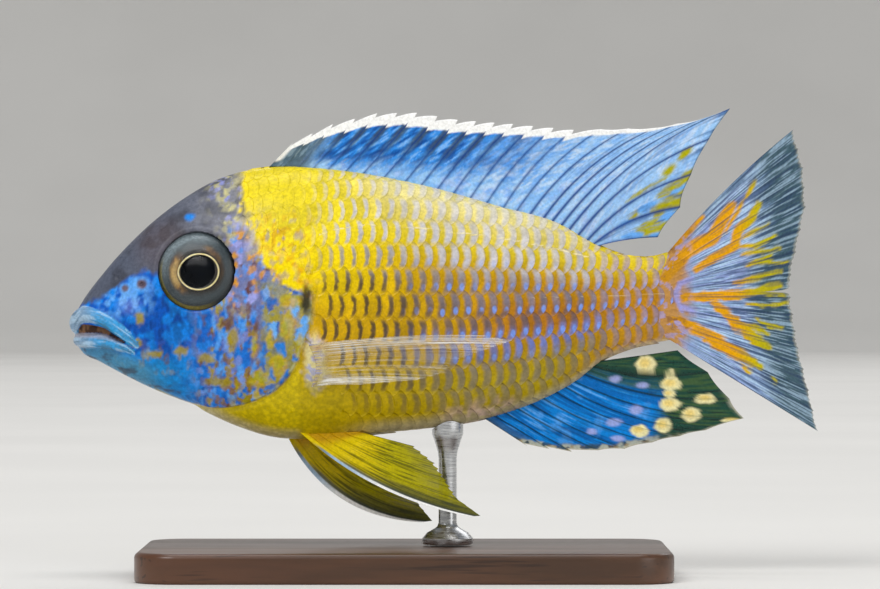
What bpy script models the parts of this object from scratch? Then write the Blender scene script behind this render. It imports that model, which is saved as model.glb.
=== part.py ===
"""Peacock cichlid: a still, life-size model of an adult male on a plain display stand.

Sizes are in millimetres and metres() turns them into Blender's metres. On the fish, u runs
back from the tip of the snout, v runs up from the body's axis and y runs across. The fish
faces -X and its left side faces -Y. The origin is the centre of the base's underside.
"""

import bpy
import bmesh
import numpy as np
from math import cos, hypot, pi, radians, sin
from mathutils import Matrix, Vector

# Whole model
MM = 0.001
SNOUT_X = -56.2
AXIS_HEIGHT = 47.0
GAP = 0.3
LEFT, RIGHT = -1, 1
SIDES = {"left": LEFT, "right": RIGHT}

# Body: outline from the side, then half its width and the height where it is widest
BODY_FRONT = 1.2
BODY_END = 100.8
BACK = [(1.2, -3.3), (2.6, -0.9), (5.5, 3.0), (12, 10.1), (20, 16.4), (27, 20.0), (33, 21.2),
        (45, 20.8), (58, 18.6), (72, 14.8), (82, 11.9), (88, 8.5), (93, 6.6), (97, 6.3), (101, 7.3)]
BELLY = [(1.2, -8.0), (2.3, -9.6), (5.3, -11.3), (13, -15.3), (20, -18.3), (28, -22.0), (35, -24.1),
         (40, -24.4), (52, -23.4), (62, -22.3), (72, -20.3), (80, -17.3), (85, -14.5), (89, -11.3),
         (93, -9.5), (101, -7.8)]
HALF_WIDTH = [(1.2, 1.2), (2.5, 2.8), (5, 4.1), (9, 5.5), (14, 6.8), (20, 7.8), (28, 8.8), (37, 9.3),
              (48, 9.0), (60, 7.8), (72, 6.0), (82, 4.3), (90, 3.1), (96, 2.1), (101, 1.1)]
WIDEST_HEIGHT = [(1.2, -5.6), (9, -4.4), (20, -2.5), (35, -2.0), (60, -2.0), (80, -1.5), (101, -0.2)]
UPPER_POWER = 1.95
LOWER_POWER = 2.15
BODY_STATIONS = 40
BODY_SIDES = 32
STATION_CROWDING = 1.4

# Bend of the tail to the fish's left, the same for every part
BEND_START = 62.0
BEND_AT_TIP = 3.0
TAIL_TIP = 125.0

# Where the body is parted. The four limits are clear of the body on each side.
IN_FRONT, BEHIND, ABOVE, BELOW = -4.0, 110.0, 40.0, -40.0
GILL_EDGE = [(30.0, 25.5), (32.7, 19.0), (36.6, 10.5), (39.3, 5.0), (41.0, 0.0), (40.9, -3.5), (39.5, -8.5),
             (38.2, -12.0), (35.3, -15.6), (31.0, -17.8), (25.5, -18.9), (20.5, -21.5)]
TAIL_BASE_START = 90.7
MOUTH_ROOF = [(-2.0, -5.2), (3.0, -5.1), (6.0, -5.6), (9.0, -7.1), (11.8, -8.7)]
MOUTH_FLOOR = [(-2.0, -6.9), (5.0, -6.9), (8.0, -7.7), (11.8, -9.0)]
JAW_BACK = [(11.8, -8.85), (12.6, -12.5), (14.2, -18.0)]
LINING_FRONT = 4.6
LINING_INSET = 1.3
LINING_CLEAR = 0.45
LINING_SINK = 0.6
LINE_STEPS = 8
GILL_STEPS = 26

# Lips: each is a horseshoe with an oval section that tapers to the corners of the mouth
UPPER_LIP = {
    "front": 1.35, "corner": 11.9, "spread": 5.75, "radial": 1.3, "height": 1.7,
    "path": [(1.35, -4.15), (3.2, -3.75), (5.3, -4.05), (7.0, -4.8), (8.7, -5.95), (10.3, -7.1),
             (11.9, -8.2)]}
LOWER_LIP = {
    "front": 1.9, "corner": 11.2, "spread": 5.3, "radial": 1.15, "height": 1.15,
    "path": [(1.9, -7.9), (5.5, -7.9), (8.0, -8.4), (11.2, -9.6)]}
LIP_STATIONS = 24
LIP_SIDES = 10
LIP_TAPER = 0.68

# Eyes
EYE_U, EYE_V = 21.9, 3.8
EYE_RADIUS = 6.45
EYE_BULGE = 1.9
EYE_DEPTH = 4.1
EYE_SINK = 0.75
EYE_FORWARD = radians(9)
EYE_UPWARD = radians(10)
EYE_SEGMENTS = 24
EYE_RINGS = 10

# Nostrils
NOSTRIL_U, NOSTRIL_V = 12.7, 1.6
NOSTRIL_RADIUS = 0.5
NOSTRIL_SEGMENTS = 12
NOSTRIL_RINGS = 8

# Gill covers: a plate between the front edge and the free rear edge
COVER_FRONT = [(32.4, 7.6), (31.5, 4.4), (32.2, -0.4), (32.6, -5.4), (32.0, -10.2), (29.6, -14.2),
               (26.4, -16.4), (23.6, -17.2)]
COVER_REAR = [(35.8, 8.2), (38.7, 4.9), (40.6, 0.4), (40.4, -4.8), (39.0, -9.6), (37.5, -12.8),
              (33.6, -16.5), (26.8, -18.3)]
COVER_LENGTH = 24.0
COVER_PROUD = 0.4
COVER_THICK = 1.2
COVER_ROWS = 16
COVER_COLUMNS = 4

# Fins. A ray is its number, where its root is and its tip; rays between these are blended.
MEMBRANE = 0.5
RAY_RIDGE = 0.42
RIDGE_TIP = 0.15
ROOT_SWELL = 0.25
RIDGE_WIDTH = 0.24
LAPPET_NOTCH = 1.1
FIN_ROWS = 5

# Each sway or bow builds up over a span of ray numbers, given as its first and its length.
DORSAL_SPINES = 16
DORSAL_RAYS = [(1, 33.8, 37.6, 25.3), (3, 38.7, 44.2, 28.3), (5, 43.7, 51.6, 30.1), (7, 49.5, 58.2, 30.2),
               (9, 56.5, 65.0, 29.0), (12, 64.5, 74.2, 28.3), (15, 72.8, 84.3, 27.3),
               (18, 79.5, 97.8, 27.6), (20, 82.5, 105.3, 29.0), (21, 83.8, 110.2, 30.8),
               (22, 85.3, 106.7, 25.7), (23, 86.8, 103.7, 19.8), (24, 88.0, 101.9, 14.4),
               (25, 89.0, 98.2, 9.4)]
DORSAL_SOFT_BOW = 0.07
DORSAL_LAST_BOW = 0.03
DORSAL_BOW_SPAN = (8, 10)
DORSAL_SWAY = 1.6
DORSAL_SWAY_SPAN = (12, 8)
ANAL_SPINES = 3
ANAL_RAYS = [(1, 69.8, 76.5, -25.3), (3, 73.3, 84.0, -26.3), (5, 77.5, 92.8, -25.8),
             (7, 81.7, 102.0, -23.7), (8, 83.3, 106.3, -22.7), (9, 84.8, 112.6, -20.7),
             (10, 86.4, 110.2, -17.4), (11, 88.0, 106.6, -13.0), (12, 89.6, 101.6, -9.4)]
ANAL_SOFT_BOW = -0.06
ANAL_SWAY = 1.2
ANAL_SPAN = (2, 6)
CAUDAL_ROOT_U = 101.15
CAUDAL_ROOT_THICK = 1.4
CAUDAL_EDGE_BOW = 0.025
CAUDAL_BOW_RAYS = 4
CAUDAL_RAYS = [(1, 7.2, 120.7, 27.3), (3, 5.4, 122.4, 21.0), (5, 3.4, 122.8, 14.5), (8, 0.6, 120.4, 3.2),
               (9, -0.4, 120.3, -0.6), (12, -3.4, 121.6, -9.0), (14, -5.6, 123.3, -16.0),
               (16, -7.6, 124.8, -22.8)]
PELVIC_Y = 2.6
PELVIC_ROOT_CLEAR = 0.45
PELVIC_SPLAY = 0.22
PELVIC_RAYS = {
    "left": [(1, 39.5, 67.0, -36.8), (2, 40.7, 68.7, -36.7), (3, 42.4, 64.9, -33.9),
             (4, 44.4, 63.2, -31.0), (5, 46.6, 61.2, -28.1), (6, 48.8, 57.8, -25.3)],
    "right": [(1, 36.4, 59.0, -38.3), (2, 37.6, 60.7, -38.1), (3, 39.4, 58.6, -35.4),
              (4, 41.6, 57.2, -32.3), (5, 44.0, 55.4, -29.2), (6, 46.4, 53.6, -26.2)]}
PELVIC_BOW = {"left": -0.07, "right": -0.15}
PELVIC_BOW_RAYS = 5
PELVIC_SPLAY_BY = 0.25
PECTORAL_ROOT_U = 40.9
PECTORAL_RAYS = [(1, -8.3, 69.5, -6.8), (2, -8.8, 74.2, -7.7), (4, -10.1, 70.3, -9.1),
                 (7, -11.8, 64.5, -11.1), (9, -13.0, 63.2, -13.0), (11, -14.2, 58.5, -14.2),
                 (13, -15.3, 49.0, -14.9)]
PECTORAL_ROOT_THICK = 1.3
PECTORAL_LIFT = 1.9
PECTORAL_CLEAR = 0.35
PECTORAL_BOW = 0.02

# Stand
BASE_LENGTH = 88.0
BASE_WIDTH = 50.0
BASE_HEIGHT = 5.0
BASE_CORNER = 7.0
CORNER_STEPS = 8
BASE_EDGE = 1.0
ROD_U = 63.3
ROD_PROFILE = [(4.2, 0.0), (4.2, 1.2), (3.4, 2.0), (2.2, 2.6), (1.5, 3.6), (1.5, 14.3), (1.9, 16.3),
               (2.6, 18.4), (2.6, 30.0)]
ROD_SIDES = 24


def clear_scene():
    for old in list(bpy.data.objects):
        bpy.data.objects.remove(old, do_unlink=True)


def metres(u, y, v):
    """World place of a point on the fish, with the bend of the tail."""
    return Vector((SNOUT_X + u, y + bend(u), AXIS_HEIGHT + v)) * MM


def bend(u):
    share = max(u - BEND_START, 0.0) / (TAIL_TIP - BEND_START)
    return -BEND_AT_TIP * share * share


def follow(points, u):
    """Height at u of the smooth curve through the points."""
    us, vs = np.array(points, float).T
    slopes = np.gradient(vs, us)
    i = int(np.clip(np.searchsorted(us, u) - 1, 0, len(us) - 2))
    step = us[i + 1] - us[i]
    t = (u - us[i]) / step
    start = (1 + 2 * t) * (1 - t) ** 2 * vs[i] + t * (1 - t) ** 2 * step * slopes[i]
    end = t * t * (3 - 2 * t) * vs[i + 1] + t * t * (t - 1) * step * slopes[i + 1]
    return float(start + end)


def trace(points, share):
    """Point at a share of the way along the smooth curve through the points."""
    steps = np.cumsum([0] + [hypot(b[0] - a[0], b[1] - a[1]) for a, b in zip(points, points[1:])])
    along = steps / steps[-1]
    us = [(s, p[0]) for s, p in zip(along, points)]
    vs = [(s, p[1]) for s, p in zip(along, points)]
    return follow(us, share), follow(vs, share)


# Body surface

def section(u, grow=0.0):
    """Top, bottom, half-width and widest height of the body at u."""
    return (follow(BACK, u) + grow, follow(BELLY, u) - grow,
            follow(HALF_WIDTH, u) + grow, follow(WIDEST_HEIGHT, u))


def flank(u, v, grow=0.0):
    """How far the body's side is from its middle at u and v."""
    top, low, wide, mid = section(u, grow)
    reach, power = (top - mid, UPPER_POWER) if v > mid else (mid - low, LOWER_POWER)
    share = min(abs(v - mid) / reach, 1.0)
    return wide * (1 - share ** power) ** (1 / power)


def belly_at(u, y):
    """Height of the body's underside at u and y."""
    _, low, wide, mid = section(u)
    share = min(abs(y) / wide, 1.0)
    return mid - (mid - low) * (1 - share ** LOWER_POWER) ** (1 / LOWER_POWER)


def ring(u, grow=0.0):
    top, low, wide, mid = section(u, grow)
    points = []
    for k in range(BODY_SIDES):
        angle = 2 * pi * k / BODY_SIDES
        c, s = cos(angle), sin(angle)
        reach, power = (top - mid, UPPER_POWER) if c > 0 else (mid - low, LOWER_POWER)
        v = mid + reach * np.sign(c) * abs(c) ** (2 / power)
        y = wide * np.sign(s) * abs(s) ** (2 / power)
        points.append((u, y, v))
    return points


# Mesh helpers

def mesh_object(name, points, faces):
    """A closed mesh from points on the fish, with its faces turned outwards."""
    mesh = bpy.data.meshes.new(name)
    mesh.from_pydata([metres(*p) for p in points], [], faces)
    return finish_object(name, mesh)


def finish_object(name, mesh):
    bm = bmesh.new()
    bm.from_mesh(mesh)
    bmesh.ops.recalc_face_normals(bm, faces=bm.faces)
    bm.to_mesh(mesh)
    bm.free()
    mesh.update()
    obj = bpy.data.objects.new(name, mesh)
    bpy.context.scene.collection.objects.link(obj)
    return obj


def tube(name, rings):
    """A closed skin over rings of points, with a flat end at each side."""
    count = len(rings[0])
    faces = [tuple(range(count))]
    for i in range(len(rings) - 1):
        for k in range(count):
            after = (k + 1) % count
            faces.append((i * count + k, i * count + after, (i + 1) * count + after, (i + 1) * count + k))
    faces.append(tuple(range((len(rings) - 1) * count, len(rings) * count)))
    return mesh_object(name, [p for one in rings for p in one], faces)


def sheet(name, outer, inner):
    """A closed plate between two like grids of points, both split into triangles the same way."""
    rows, columns = len(outer), len(outer[0])
    points = [p for row in outer for p in row] + [p for row in inner for p in row]
    back = rows * columns
    faces = []
    for i in range(rows - 1):
        for j in range(columns - 1):
            a, b = i * columns + j, i * columns + j + 1
            d, c = a + columns, b + columns
            faces += [(a, b, c), (a, c, d), (back + a, back + c, back + b), (back + a, back + d, back + c)]
    edge = list(range(columns)) + [(i + 1) * columns - 1 for i in range(1, rows)]
    edge += [(rows - 1) * columns + j for j in range(columns - 2, -1, -1)]
    edge += [i * columns for i in range(rows - 2, 0, -1)]
    for a, b in zip(edge, edge[1:] + edge[:1]):
        faces += [(a, back + a, back + b), (a, back + b, b)]
    return mesh_object(name, points, faces)


def combine(obj, other, operation):
    """Cut, join or cross obj with another object, which is then removed."""
    modifier = obj.modifiers.new(operation, "BOOLEAN")
    modifier.operation = operation
    modifier.solver = "EXACT"
    modifier.object = other
    evaluated = obj.evaluated_get(bpy.context.evaluated_depsgraph_get())
    result = bpy.data.meshes.new_from_object(evaluated)
    obj.modifiers.clear()
    obj.data = result
    bpy.data.objects.remove(other, do_unlink=True)
    keep_largest(obj)
    return obj


def keep_largest(obj):
    """Keep the one closed surface with the most faces, and drop loose scraps."""
    bm = bmesh.new()
    bm.from_mesh(obj.data)
    left = set(bm.faces)
    shells = []
    while left:
        queue = [left.pop()]
        shell = set(queue)
        while queue:
            for edge in queue.pop().edges:
                for face in edge.link_faces:
                    if face in left:
                        left.remove(face)
                        shell.add(face)
                        queue.append(face)
        shells.append(shell)
    largest = max(shells, key=len)
    scraps = [face for shell in shells if shell is not largest for face in shell]
    bmesh.ops.delete(bm, geom=scraps, context="FACES")
    bm.to_mesh(obj.data)
    bm.free()


def body_loft(name, grow=0.0, start=BODY_FRONT, end=BODY_END):
    shares = np.linspace(0, 1, BODY_STATIONS + 1) ** STATION_CROWDING
    return tube(name, [ring(u, grow) for u in start + (end - start) * shares])


def side_prism(name, outline, half_depth=16.0):
    """The side outline pushed right through the body."""
    obj = tube(name, [[(u, y, v) for u, v in outline] for y in (-half_depth, half_depth)])
    bm = bmesh.new()
    bm.from_mesh(obj.data)
    bmesh.ops.triangulate(bm, faces=bm.faces)
    bm.to_mesh(obj.data)
    bm.free()
    return obj


def shifted(points, du):
    return [(u + du, v) for u, v in points]


def smooth_line(points, count):
    return [trace(points, k / count) for k in range(count + 1)]


# Nodes of the body

def head():
    edge = shifted(smooth_line(GILL_EDGE, GILL_STEPS), -GAP / 2)
    jaw = shifted(JAW_BACK, GAP / 2)
    roof = smooth_line(MOUTH_ROOF, LINE_STEPS)[:-1]
    outline = roof + jaw + [(jaw[-1][0], BELOW), (edge[-1][0], BELOW)] + edge[::-1]
    outline += [(edge[0][0], ABOVE), (IN_FRONT, ABOVE)]
    obj = combine(body_loft("head"), side_prism("head_side", outline), "INTERSECT")
    combine(obj, mouth_lining(), "UNION")
    combine(obj, lip("lip_room", UPPER_LIP, GAP), "DIFFERENCE")
    for side in SIDES.values():
        combine(obj, eye_solid("eye_room", side, GAP), "DIFFERENCE")
        combine(obj, nostril(side), "DIFFERENCE")
        combine(obj, cover_room(side), "DIFFERENCE")
    return obj


def mouth_lining():
    """Flesh inside the open mouth, set in from the lips and clear of the lower jaw."""
    roof = [(u, v + LINING_SINK) for u, v in smooth_line(MOUTH_ROOF, LINE_STEPS) if u > LINING_FRONT]
    floor = [(u, v + LINING_CLEAR) for u, v in smooth_line(MOUTH_FLOOR, LINE_STEPS) if u > LINING_FRONT]
    outline = [(LINING_FRONT, follow(MOUTH_ROOF, LINING_FRONT) + LINING_SINK)] + roof
    outline += floor[::-1] + [(LINING_FRONT, follow(MOUTH_FLOOR, LINING_FRONT) + LINING_CLEAR)]
    core = body_loft("mouth_lining", -LINING_INSET, LINING_FRONT - 1.0, 2 * MOUTH_ROOF[-1][0])
    return combine(core, side_prism("lining_side", outline), "INTERSECT")


def trunk():
    edge = shifted(smooth_line(GILL_EDGE, GILL_STEPS), GAP / 2)
    end = TAIL_BASE_START - GAP / 2
    outline = edge + [(edge[-1][0], BELOW), (end, BELOW), (end, ABOVE), (edge[0][0], ABOVE)]
    return combine(body_loft("trunk"), side_prism("trunk_side", outline), "INTERSECT")


def tail_base():
    start = TAIL_BASE_START + GAP / 2
    outline = [(start, BELOW), (BEHIND, BELOW), (BEHIND, ABOVE), (start, ABOVE)]
    return combine(body_loft("tail_base"), side_prism("tail_side", outline), "INTERSECT")


def lower_jaw():
    floor = smooth_line(MOUTH_FLOOR, LINE_STEPS)[:-1]
    back = shifted(JAW_BACK, -GAP / 2)
    outline = floor + back + [(back[-1][0], BELOW), (IN_FRONT, BELOW)]
    obj = combine(body_loft("lower_jaw"), side_prism("jaw_side", outline), "INTERSECT")
    combine(obj, lip("lower_lip", LOWER_LIP), "UNION")
    return combine(obj, lip("lip_room", UPPER_LIP, GAP), "DIFFERENCE")


def lip(name, shape, grow=0.0):
    """A horseshoe round the front of the snout."""
    length = shape["corner"] - shape["front"]
    rings = []
    for k in range(LIP_STATIONS + 1):
        turn = pi * (k / LIP_STATIONS - 0.5)
        u = shape["corner"] - length * cos(turn)
        across = shape["spread"] * sin(turn)
        middle = Vector((u, across, follow(shape["path"], u)))
        heading = Vector((length * sin(turn), shape["spread"] * cos(turn), 0)).normalized()
        outward = heading.cross(Vector((0, 0, 1)))
        size = 1 - LIP_TAPER * abs(sin(turn)) ** 3
        half_wide = shape["radial"] * size + grow
        half_high = shape["height"] * size + grow
        points = []
        for j in range(LIP_SIDES):
            angle = 2 * pi * j / LIP_SIDES
            p = middle + outward * (half_wide * cos(angle)) + Vector((0, 0, half_high * sin(angle)))
            points.append(tuple(p))
        rings.append(points)
    return tube(name, rings)


def eye_solid(name, side, grow=0.0):
    """A flattened ball, shallow outside and deeper in its socket."""
    turn = Matrix.Rotation(side * EYE_FORWARD, 3, "Z") @ Matrix.Rotation(side * EYE_UPWARD, 3, "X")
    centre = Vector((EYE_U, side * (flank(EYE_U, EYE_V) - EYE_SINK), EYE_V))
    bm = bmesh.new()
    bmesh.ops.create_uvsphere(bm, u_segments=EYE_SEGMENTS, v_segments=EYE_RINGS, radius=1.0)
    for vert in bm.verts:
        out = vert.co.z
        deep = EYE_BULGE + grow if out > 0 else EYE_DEPTH + grow
        flat = Vector((vert.co.x * (EYE_RADIUS + grow), side * out * deep, vert.co.y * (EYE_RADIUS + grow)))
        place = centre + turn @ flat
        vert.co = metres(place.x, place.y, place.z)
    mesh = bpy.data.meshes.new(name)
    bm.to_mesh(mesh)
    bm.free()
    return finish_object(name, mesh)


def nostril(side):
    place = metres(NOSTRIL_U, side * flank(NOSTRIL_U, NOSTRIL_V), NOSTRIL_V)
    bm = bmesh.new()
    bmesh.ops.create_uvsphere(bm, u_segments=NOSTRIL_SEGMENTS, v_segments=NOSTRIL_RINGS,
                              radius=NOSTRIL_RADIUS * MM)
    bmesh.ops.translate(bm, verts=bm.verts, vec=place)
    mesh = bpy.data.meshes.new("nostril_pit")
    bm.to_mesh(mesh)
    bm.free()
    return finish_object("nostril_pit", mesh)


def cover_grid(side, grow, margin=0.0, past_rear=0.0):
    """Points of one face of a gill cover, from its top to its lower front end."""
    ends = margin / COVER_LENGTH
    grid = []
    for i in range(COVER_ROWS + 1):
        share = -ends + (1 + 2 * ends) * i / COVER_ROWS
        front, rear = trace(COVER_FRONT, share), trace(COVER_REAR, share)
        wide = hypot(rear[0] - front[0], rear[1] - front[1])
        row = []
        for j in range(COVER_COLUMNS + 1):
            t = -margin / wide + (1 + (margin + past_rear) / wide) * j / COVER_COLUMNS
            u = front[0] + (rear[0] - front[0]) * t
            v = front[1] + (rear[1] - front[1]) * t
            row.append((u, side * flank(u, v, grow), v))
        grid.append(row)
    return grid


def gill_cover(side_name):
    side = SIDES[side_name]
    outer = cover_grid(side, COVER_PROUD)
    inner = cover_grid(side, COVER_PROUD - COVER_THICK)
    return sheet("gill_cover_" + side_name, outer, inner)


def cover_room(side):
    """Room for a gill cover, open to the outside and past its rear edge."""
    past_rear = 1.5
    outer = cover_grid(side, COVER_PROUD + COVER_THICK, GAP, past_rear)
    inner = cover_grid(side, COVER_PROUD - COVER_THICK - GAP, GAP, past_rear)
    return sheet("cover_room", outer, inner)


# Fins

def ray_at(rays, number):
    """Root and tip of a ray, blended between the rays that are given."""
    numbers = [r[0] for r in rays]
    return [float(np.interp(number, numbers, [r[k] for r in rays])) for k in (1, 2, 3)]


def fin_columns(rays):
    """Numbers of the columns: each ray's crest, and a shoulder on both sides of it."""
    last = rays[-1][0]
    columns = [1.0]
    for n in range(1, last):
        columns += [n + RIDGE_WIDTH, n + 1 - RIDGE_WIDTH, float(n + 1)]
    return columns


def half_thickness(number, share, root=0.0):
    """Half the fin's thickness: membrane, swell at the root and ridge at a ray."""
    on_ray = abs(number - round(number)) < 1e-6
    ridge = RAY_RIDGE + (RIDGE_TIP - RAY_RIDGE) * share if on_ray else 0.0
    swell = max(root, ROOT_SWELL) * (1 - share) ** 3
    return MEMBRANE / 2 + ridge / 2 + swell


def notch(number, spines):
    """How much shorter the membrane is behind the tip of a spine."""
    behind = number - int(number)
    return LAPPET_NOTCH if number < spines and 0 < behind < 0.5 else 0.0


def fin(name, rays, place_root, middle, bow, spines=0, root_thick=0.0):
    """A fin whose rays are ridges raised in its own surface.

    place_root gives a root's u and v, middle gives y at a ray number, share and place.
    """
    left, right = [], []
    for number in fin_columns(rays):
        given = ray_at(rays, number)
        root = place_root(given[0])
        tip = Vector((given[1], given[2]))
        along = tip - Vector(root)
        along *= 1 - notch(number, spines) / along.length
        across = Vector((-along.y, along.x))
        column_left, column_right = [], []
        for k in range(FIN_ROWS + 1):
            share = k / FIN_ROWS
            p = Vector(root) + along * share + across * (4 * bow(number) * share * (1 - share))
            y = middle(number, share, p.x, p.y)
            half = half_thickness(number, share, root_thick)
            column_left.append((p.x, y - half, p.y))
            column_right.append((p.x, y + half, p.y))
        left.append(column_left)
        right.append(column_right)
    return sheet(name, left, right)


def build_up(number, span):
    """A share that grows from 0 to 1 over a span of ray numbers."""
    first, length = span
    return float(np.clip((number - first) / length, 0, 1))


def dorsal_fin():
    last = DORSAL_RAYS[-1][0]

    def bow(number):
        return DORSAL_LAST_BOW if number > last - 1 else DORSAL_SOFT_BOW * build_up(number, DORSAL_BOW_SPAN)

    def middle(number, share, u, v):
        return -DORSAL_SWAY * share ** 2 * build_up(number, DORSAL_SWAY_SPAN)

    return fin("dorsal_fin", DORSAL_RAYS, lambda u: (u, follow(BACK, u) + GAP), middle, bow, DORSAL_SPINES)


def anal_fin():
    last = ANAL_RAYS[-1][0]

    def bow(number):
        return 0.0 if number > last - 1 else ANAL_SOFT_BOW * build_up(number, ANAL_SPAN)

    def middle(number, share, u, v):
        return ANAL_SWAY * share ** 2 * build_up(number, ANAL_SPAN)

    return fin("anal_fin", ANAL_RAYS, lambda u: (u, follow(BELLY, u) - GAP), middle, bow, ANAL_SPINES + 1)


def caudal_fin():
    def bow(number):
        return CAUDAL_EDGE_BOW * (1 - build_up(number, (1, CAUDAL_BOW_RAYS)))

    return fin("caudal_fin", CAUDAL_RAYS, lambda v: (CAUDAL_ROOT_U, v), lambda n, s, u, v: 0.0, bow,
               root_thick=CAUDAL_ROOT_THICK / 2)


def pelvic_fin(side_name):
    side = SIDES[side_name]

    def place_root(u):
        return u, belly_at(u, PELVIC_Y) - PELVIC_ROOT_CLEAR

    def middle(number, share, u, v):
        hang = max(follow(BELLY, u) - v, 0.0)
        return side * (PELVIC_Y + PELVIC_SPLAY * hang * min(share / PELVIC_SPLAY_BY, 1.0))

    def bow(number):
        return PELVIC_BOW[side_name] * (1 - build_up(number, (1, PELVIC_BOW_RAYS)))

    return fin("pelvic_fin_" + side_name, PELVIC_RAYS[side_name], place_root, middle, bow)


def pectoral_fin(side_name):
    side = SIDES[side_name]

    def middle(number, share, u, v):
        clear = PECTORAL_CLEAR + half_thickness(1, share, PECTORAL_ROOT_THICK / 2)
        return side * (flank(u, v) + clear + PECTORAL_LIFT * share ** 1.5)

    return fin("pectoral_fin_" + side_name, PECTORAL_RAYS, lambda v: (PECTORAL_ROOT_U, v), middle,
               lambda number: PECTORAL_BOW, root_thick=PECTORAL_ROOT_THICK / 2)


# Stand

def stand_base():
    points = []
    for corner_x, corner_y, start in ((1, 1, 0), (-1, 1, 90), (-1, -1, 180), (1, -1, 270)):
        for k in range(CORNER_STEPS + 1):
            angle = radians(start + 90 * k / CORNER_STEPS)
            points.append((corner_x * (BASE_LENGTH / 2 - BASE_CORNER) + BASE_CORNER * cos(angle),
                           corner_y * (BASE_WIDTH / 2 - BASE_CORNER) + BASE_CORNER * sin(angle)))
    bm = bmesh.new()
    face = bm.faces.new([bm.verts.new((x * MM, y * MM, 0)) for x, y in points])
    raised = bmesh.ops.extrude_face_region(bm, geom=[face])
    top = [v for v in raised["geom"] if isinstance(v, bmesh.types.BMVert)]
    bmesh.ops.translate(bm, verts=top, vec=(0, 0, BASE_HEIGHT * MM))
    rim = [e for e in bm.edges if all(v.co.z > 0.5 * BASE_HEIGHT * MM for v in e.verts)]
    bmesh.ops.bevel(bm, geom=rim, offset=BASE_EDGE * MM, segments=3, profile=0.5, affect="EDGES")
    mesh = bpy.data.meshes.new("stand_base")
    bm.to_mesh(mesh)
    bm.free()
    return finish_object("stand_base", mesh)


def stand_rod():
    """A turned rod with a foot and a small cup that takes the shape of the belly."""
    turns = [2 * pi * k / ROD_SIDES for k in range(ROD_SIDES)]
    foot = BASE_HEIGHT + GAP - AXIS_HEIGHT
    obj = tube("stand_rod", [[(ROD_U + radius * cos(a), radius * sin(a), foot + height) for a in turns]
                             for radius, height in ROD_PROFILE])
    return combine(obj, body_loft("belly_room", GAP), "DIFFERENCE")


SHARP_ANGLE = radians(40)

# Materials: colour, roughness, metallic
FINISHES = {
    "head": ((0.10, 0.20, 0.42), 0.35, 0.0), "gill_cover": ((0.05, 0.22, 0.65), 0.30, 0.0),
    "jaw": ((0.25, 0.55, 0.75), 0.35, 0.0), "eye": ((0.06, 0.05, 0.05), 0.10, 0.0),
    "trunk": ((0.85, 0.55, 0.05), 0.35, 0.0), "tail_base": ((0.80, 0.42, 0.05), 0.35, 0.0),
    "fin": ((0.25, 0.40, 0.75), 0.40, 0.0), "tail_fin": ((0.45, 0.50, 0.62), 0.40, 0.0),
    "pelvic_fin": ((0.75, 0.60, 0.15), 0.40, 0.0), "pectoral_fin": ((0.85, 0.82, 0.70), 0.40, 0.0),
    "base": ((0.10, 0.05, 0.03), 0.35, 0.0), "rod": ((0.65, 0.50, 0.22), 0.25, 1.0)}


def paint(obj, finish):
    colour, roughness, metallic = FINISHES[finish]
    material = bpy.data.materials.new(obj.name)
    material.use_nodes = True
    shader = material.node_tree.nodes["Principled BSDF"]
    shader.inputs["Base Color"].default_value = (*colour, 1.0)
    shader.inputs["Roughness"].default_value = roughness
    shader.inputs["Metallic"].default_value = metallic
    obj.data.materials.clear()
    obj.data.materials.append(material)
    obj.data.shade_smooth()
    obj.data.set_sharp_from_angle(angle=SHARP_ANGLE)


def build():
    clear_scene()
    paint(stand_base(), "base")
    paint(stand_rod(), "rod")
    paint(head(), "head")
    paint(trunk(), "trunk")
    paint(tail_base(), "tail_base")
    paint(lip("upper_jaw", UPPER_LIP), "jaw")
    paint(lower_jaw(), "jaw")
    paint(dorsal_fin(), "fin")
    paint(anal_fin(), "fin")
    paint(caudal_fin(), "tail_fin")
    for side_name, side in SIDES.items():
        paint(eye_solid("eye_" + side_name, side), "eye")
        paint(gill_cover(side_name), "gill_cover")
        paint(pelvic_fin(side_name), "pelvic_fin")
        paint(pectoral_fin(side_name), "pectoral_fin")


build()
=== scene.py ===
"""Looks of the peacock cichlid model: one skin with scales, fins with their rays, eyes and stand.

Sizes are in millimetres, in the fish's own frame: u runs back from the tip of the snout, v runs
up from the body's axis and y runs across. world() turns them into Blender's metres.
"""

from math import cos, pi, radians, sin

import bmesh
import bpy
import numpy as np
from mathutils import Matrix, Vector

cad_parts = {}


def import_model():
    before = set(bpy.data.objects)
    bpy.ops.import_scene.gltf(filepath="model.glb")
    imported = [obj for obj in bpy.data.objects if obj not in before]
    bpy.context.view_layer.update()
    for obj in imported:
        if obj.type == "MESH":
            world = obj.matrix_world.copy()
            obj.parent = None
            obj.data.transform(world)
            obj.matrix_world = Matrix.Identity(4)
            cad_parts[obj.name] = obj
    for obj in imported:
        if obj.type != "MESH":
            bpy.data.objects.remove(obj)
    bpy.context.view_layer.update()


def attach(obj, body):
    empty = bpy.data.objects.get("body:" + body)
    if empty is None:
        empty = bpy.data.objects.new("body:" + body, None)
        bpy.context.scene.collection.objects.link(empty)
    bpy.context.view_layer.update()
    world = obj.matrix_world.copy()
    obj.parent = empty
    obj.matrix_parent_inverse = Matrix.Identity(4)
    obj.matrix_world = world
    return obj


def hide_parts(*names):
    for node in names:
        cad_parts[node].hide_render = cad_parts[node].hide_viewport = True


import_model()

# Whole model
MM = 0.001
SNOUT_X = -56.2
AXIS_HEIGHT = 47.0
LEFT, RIGHT = -1, 1
SIDES = {"left": LEFT, "right": RIGHT}
SEED = 11

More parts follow.
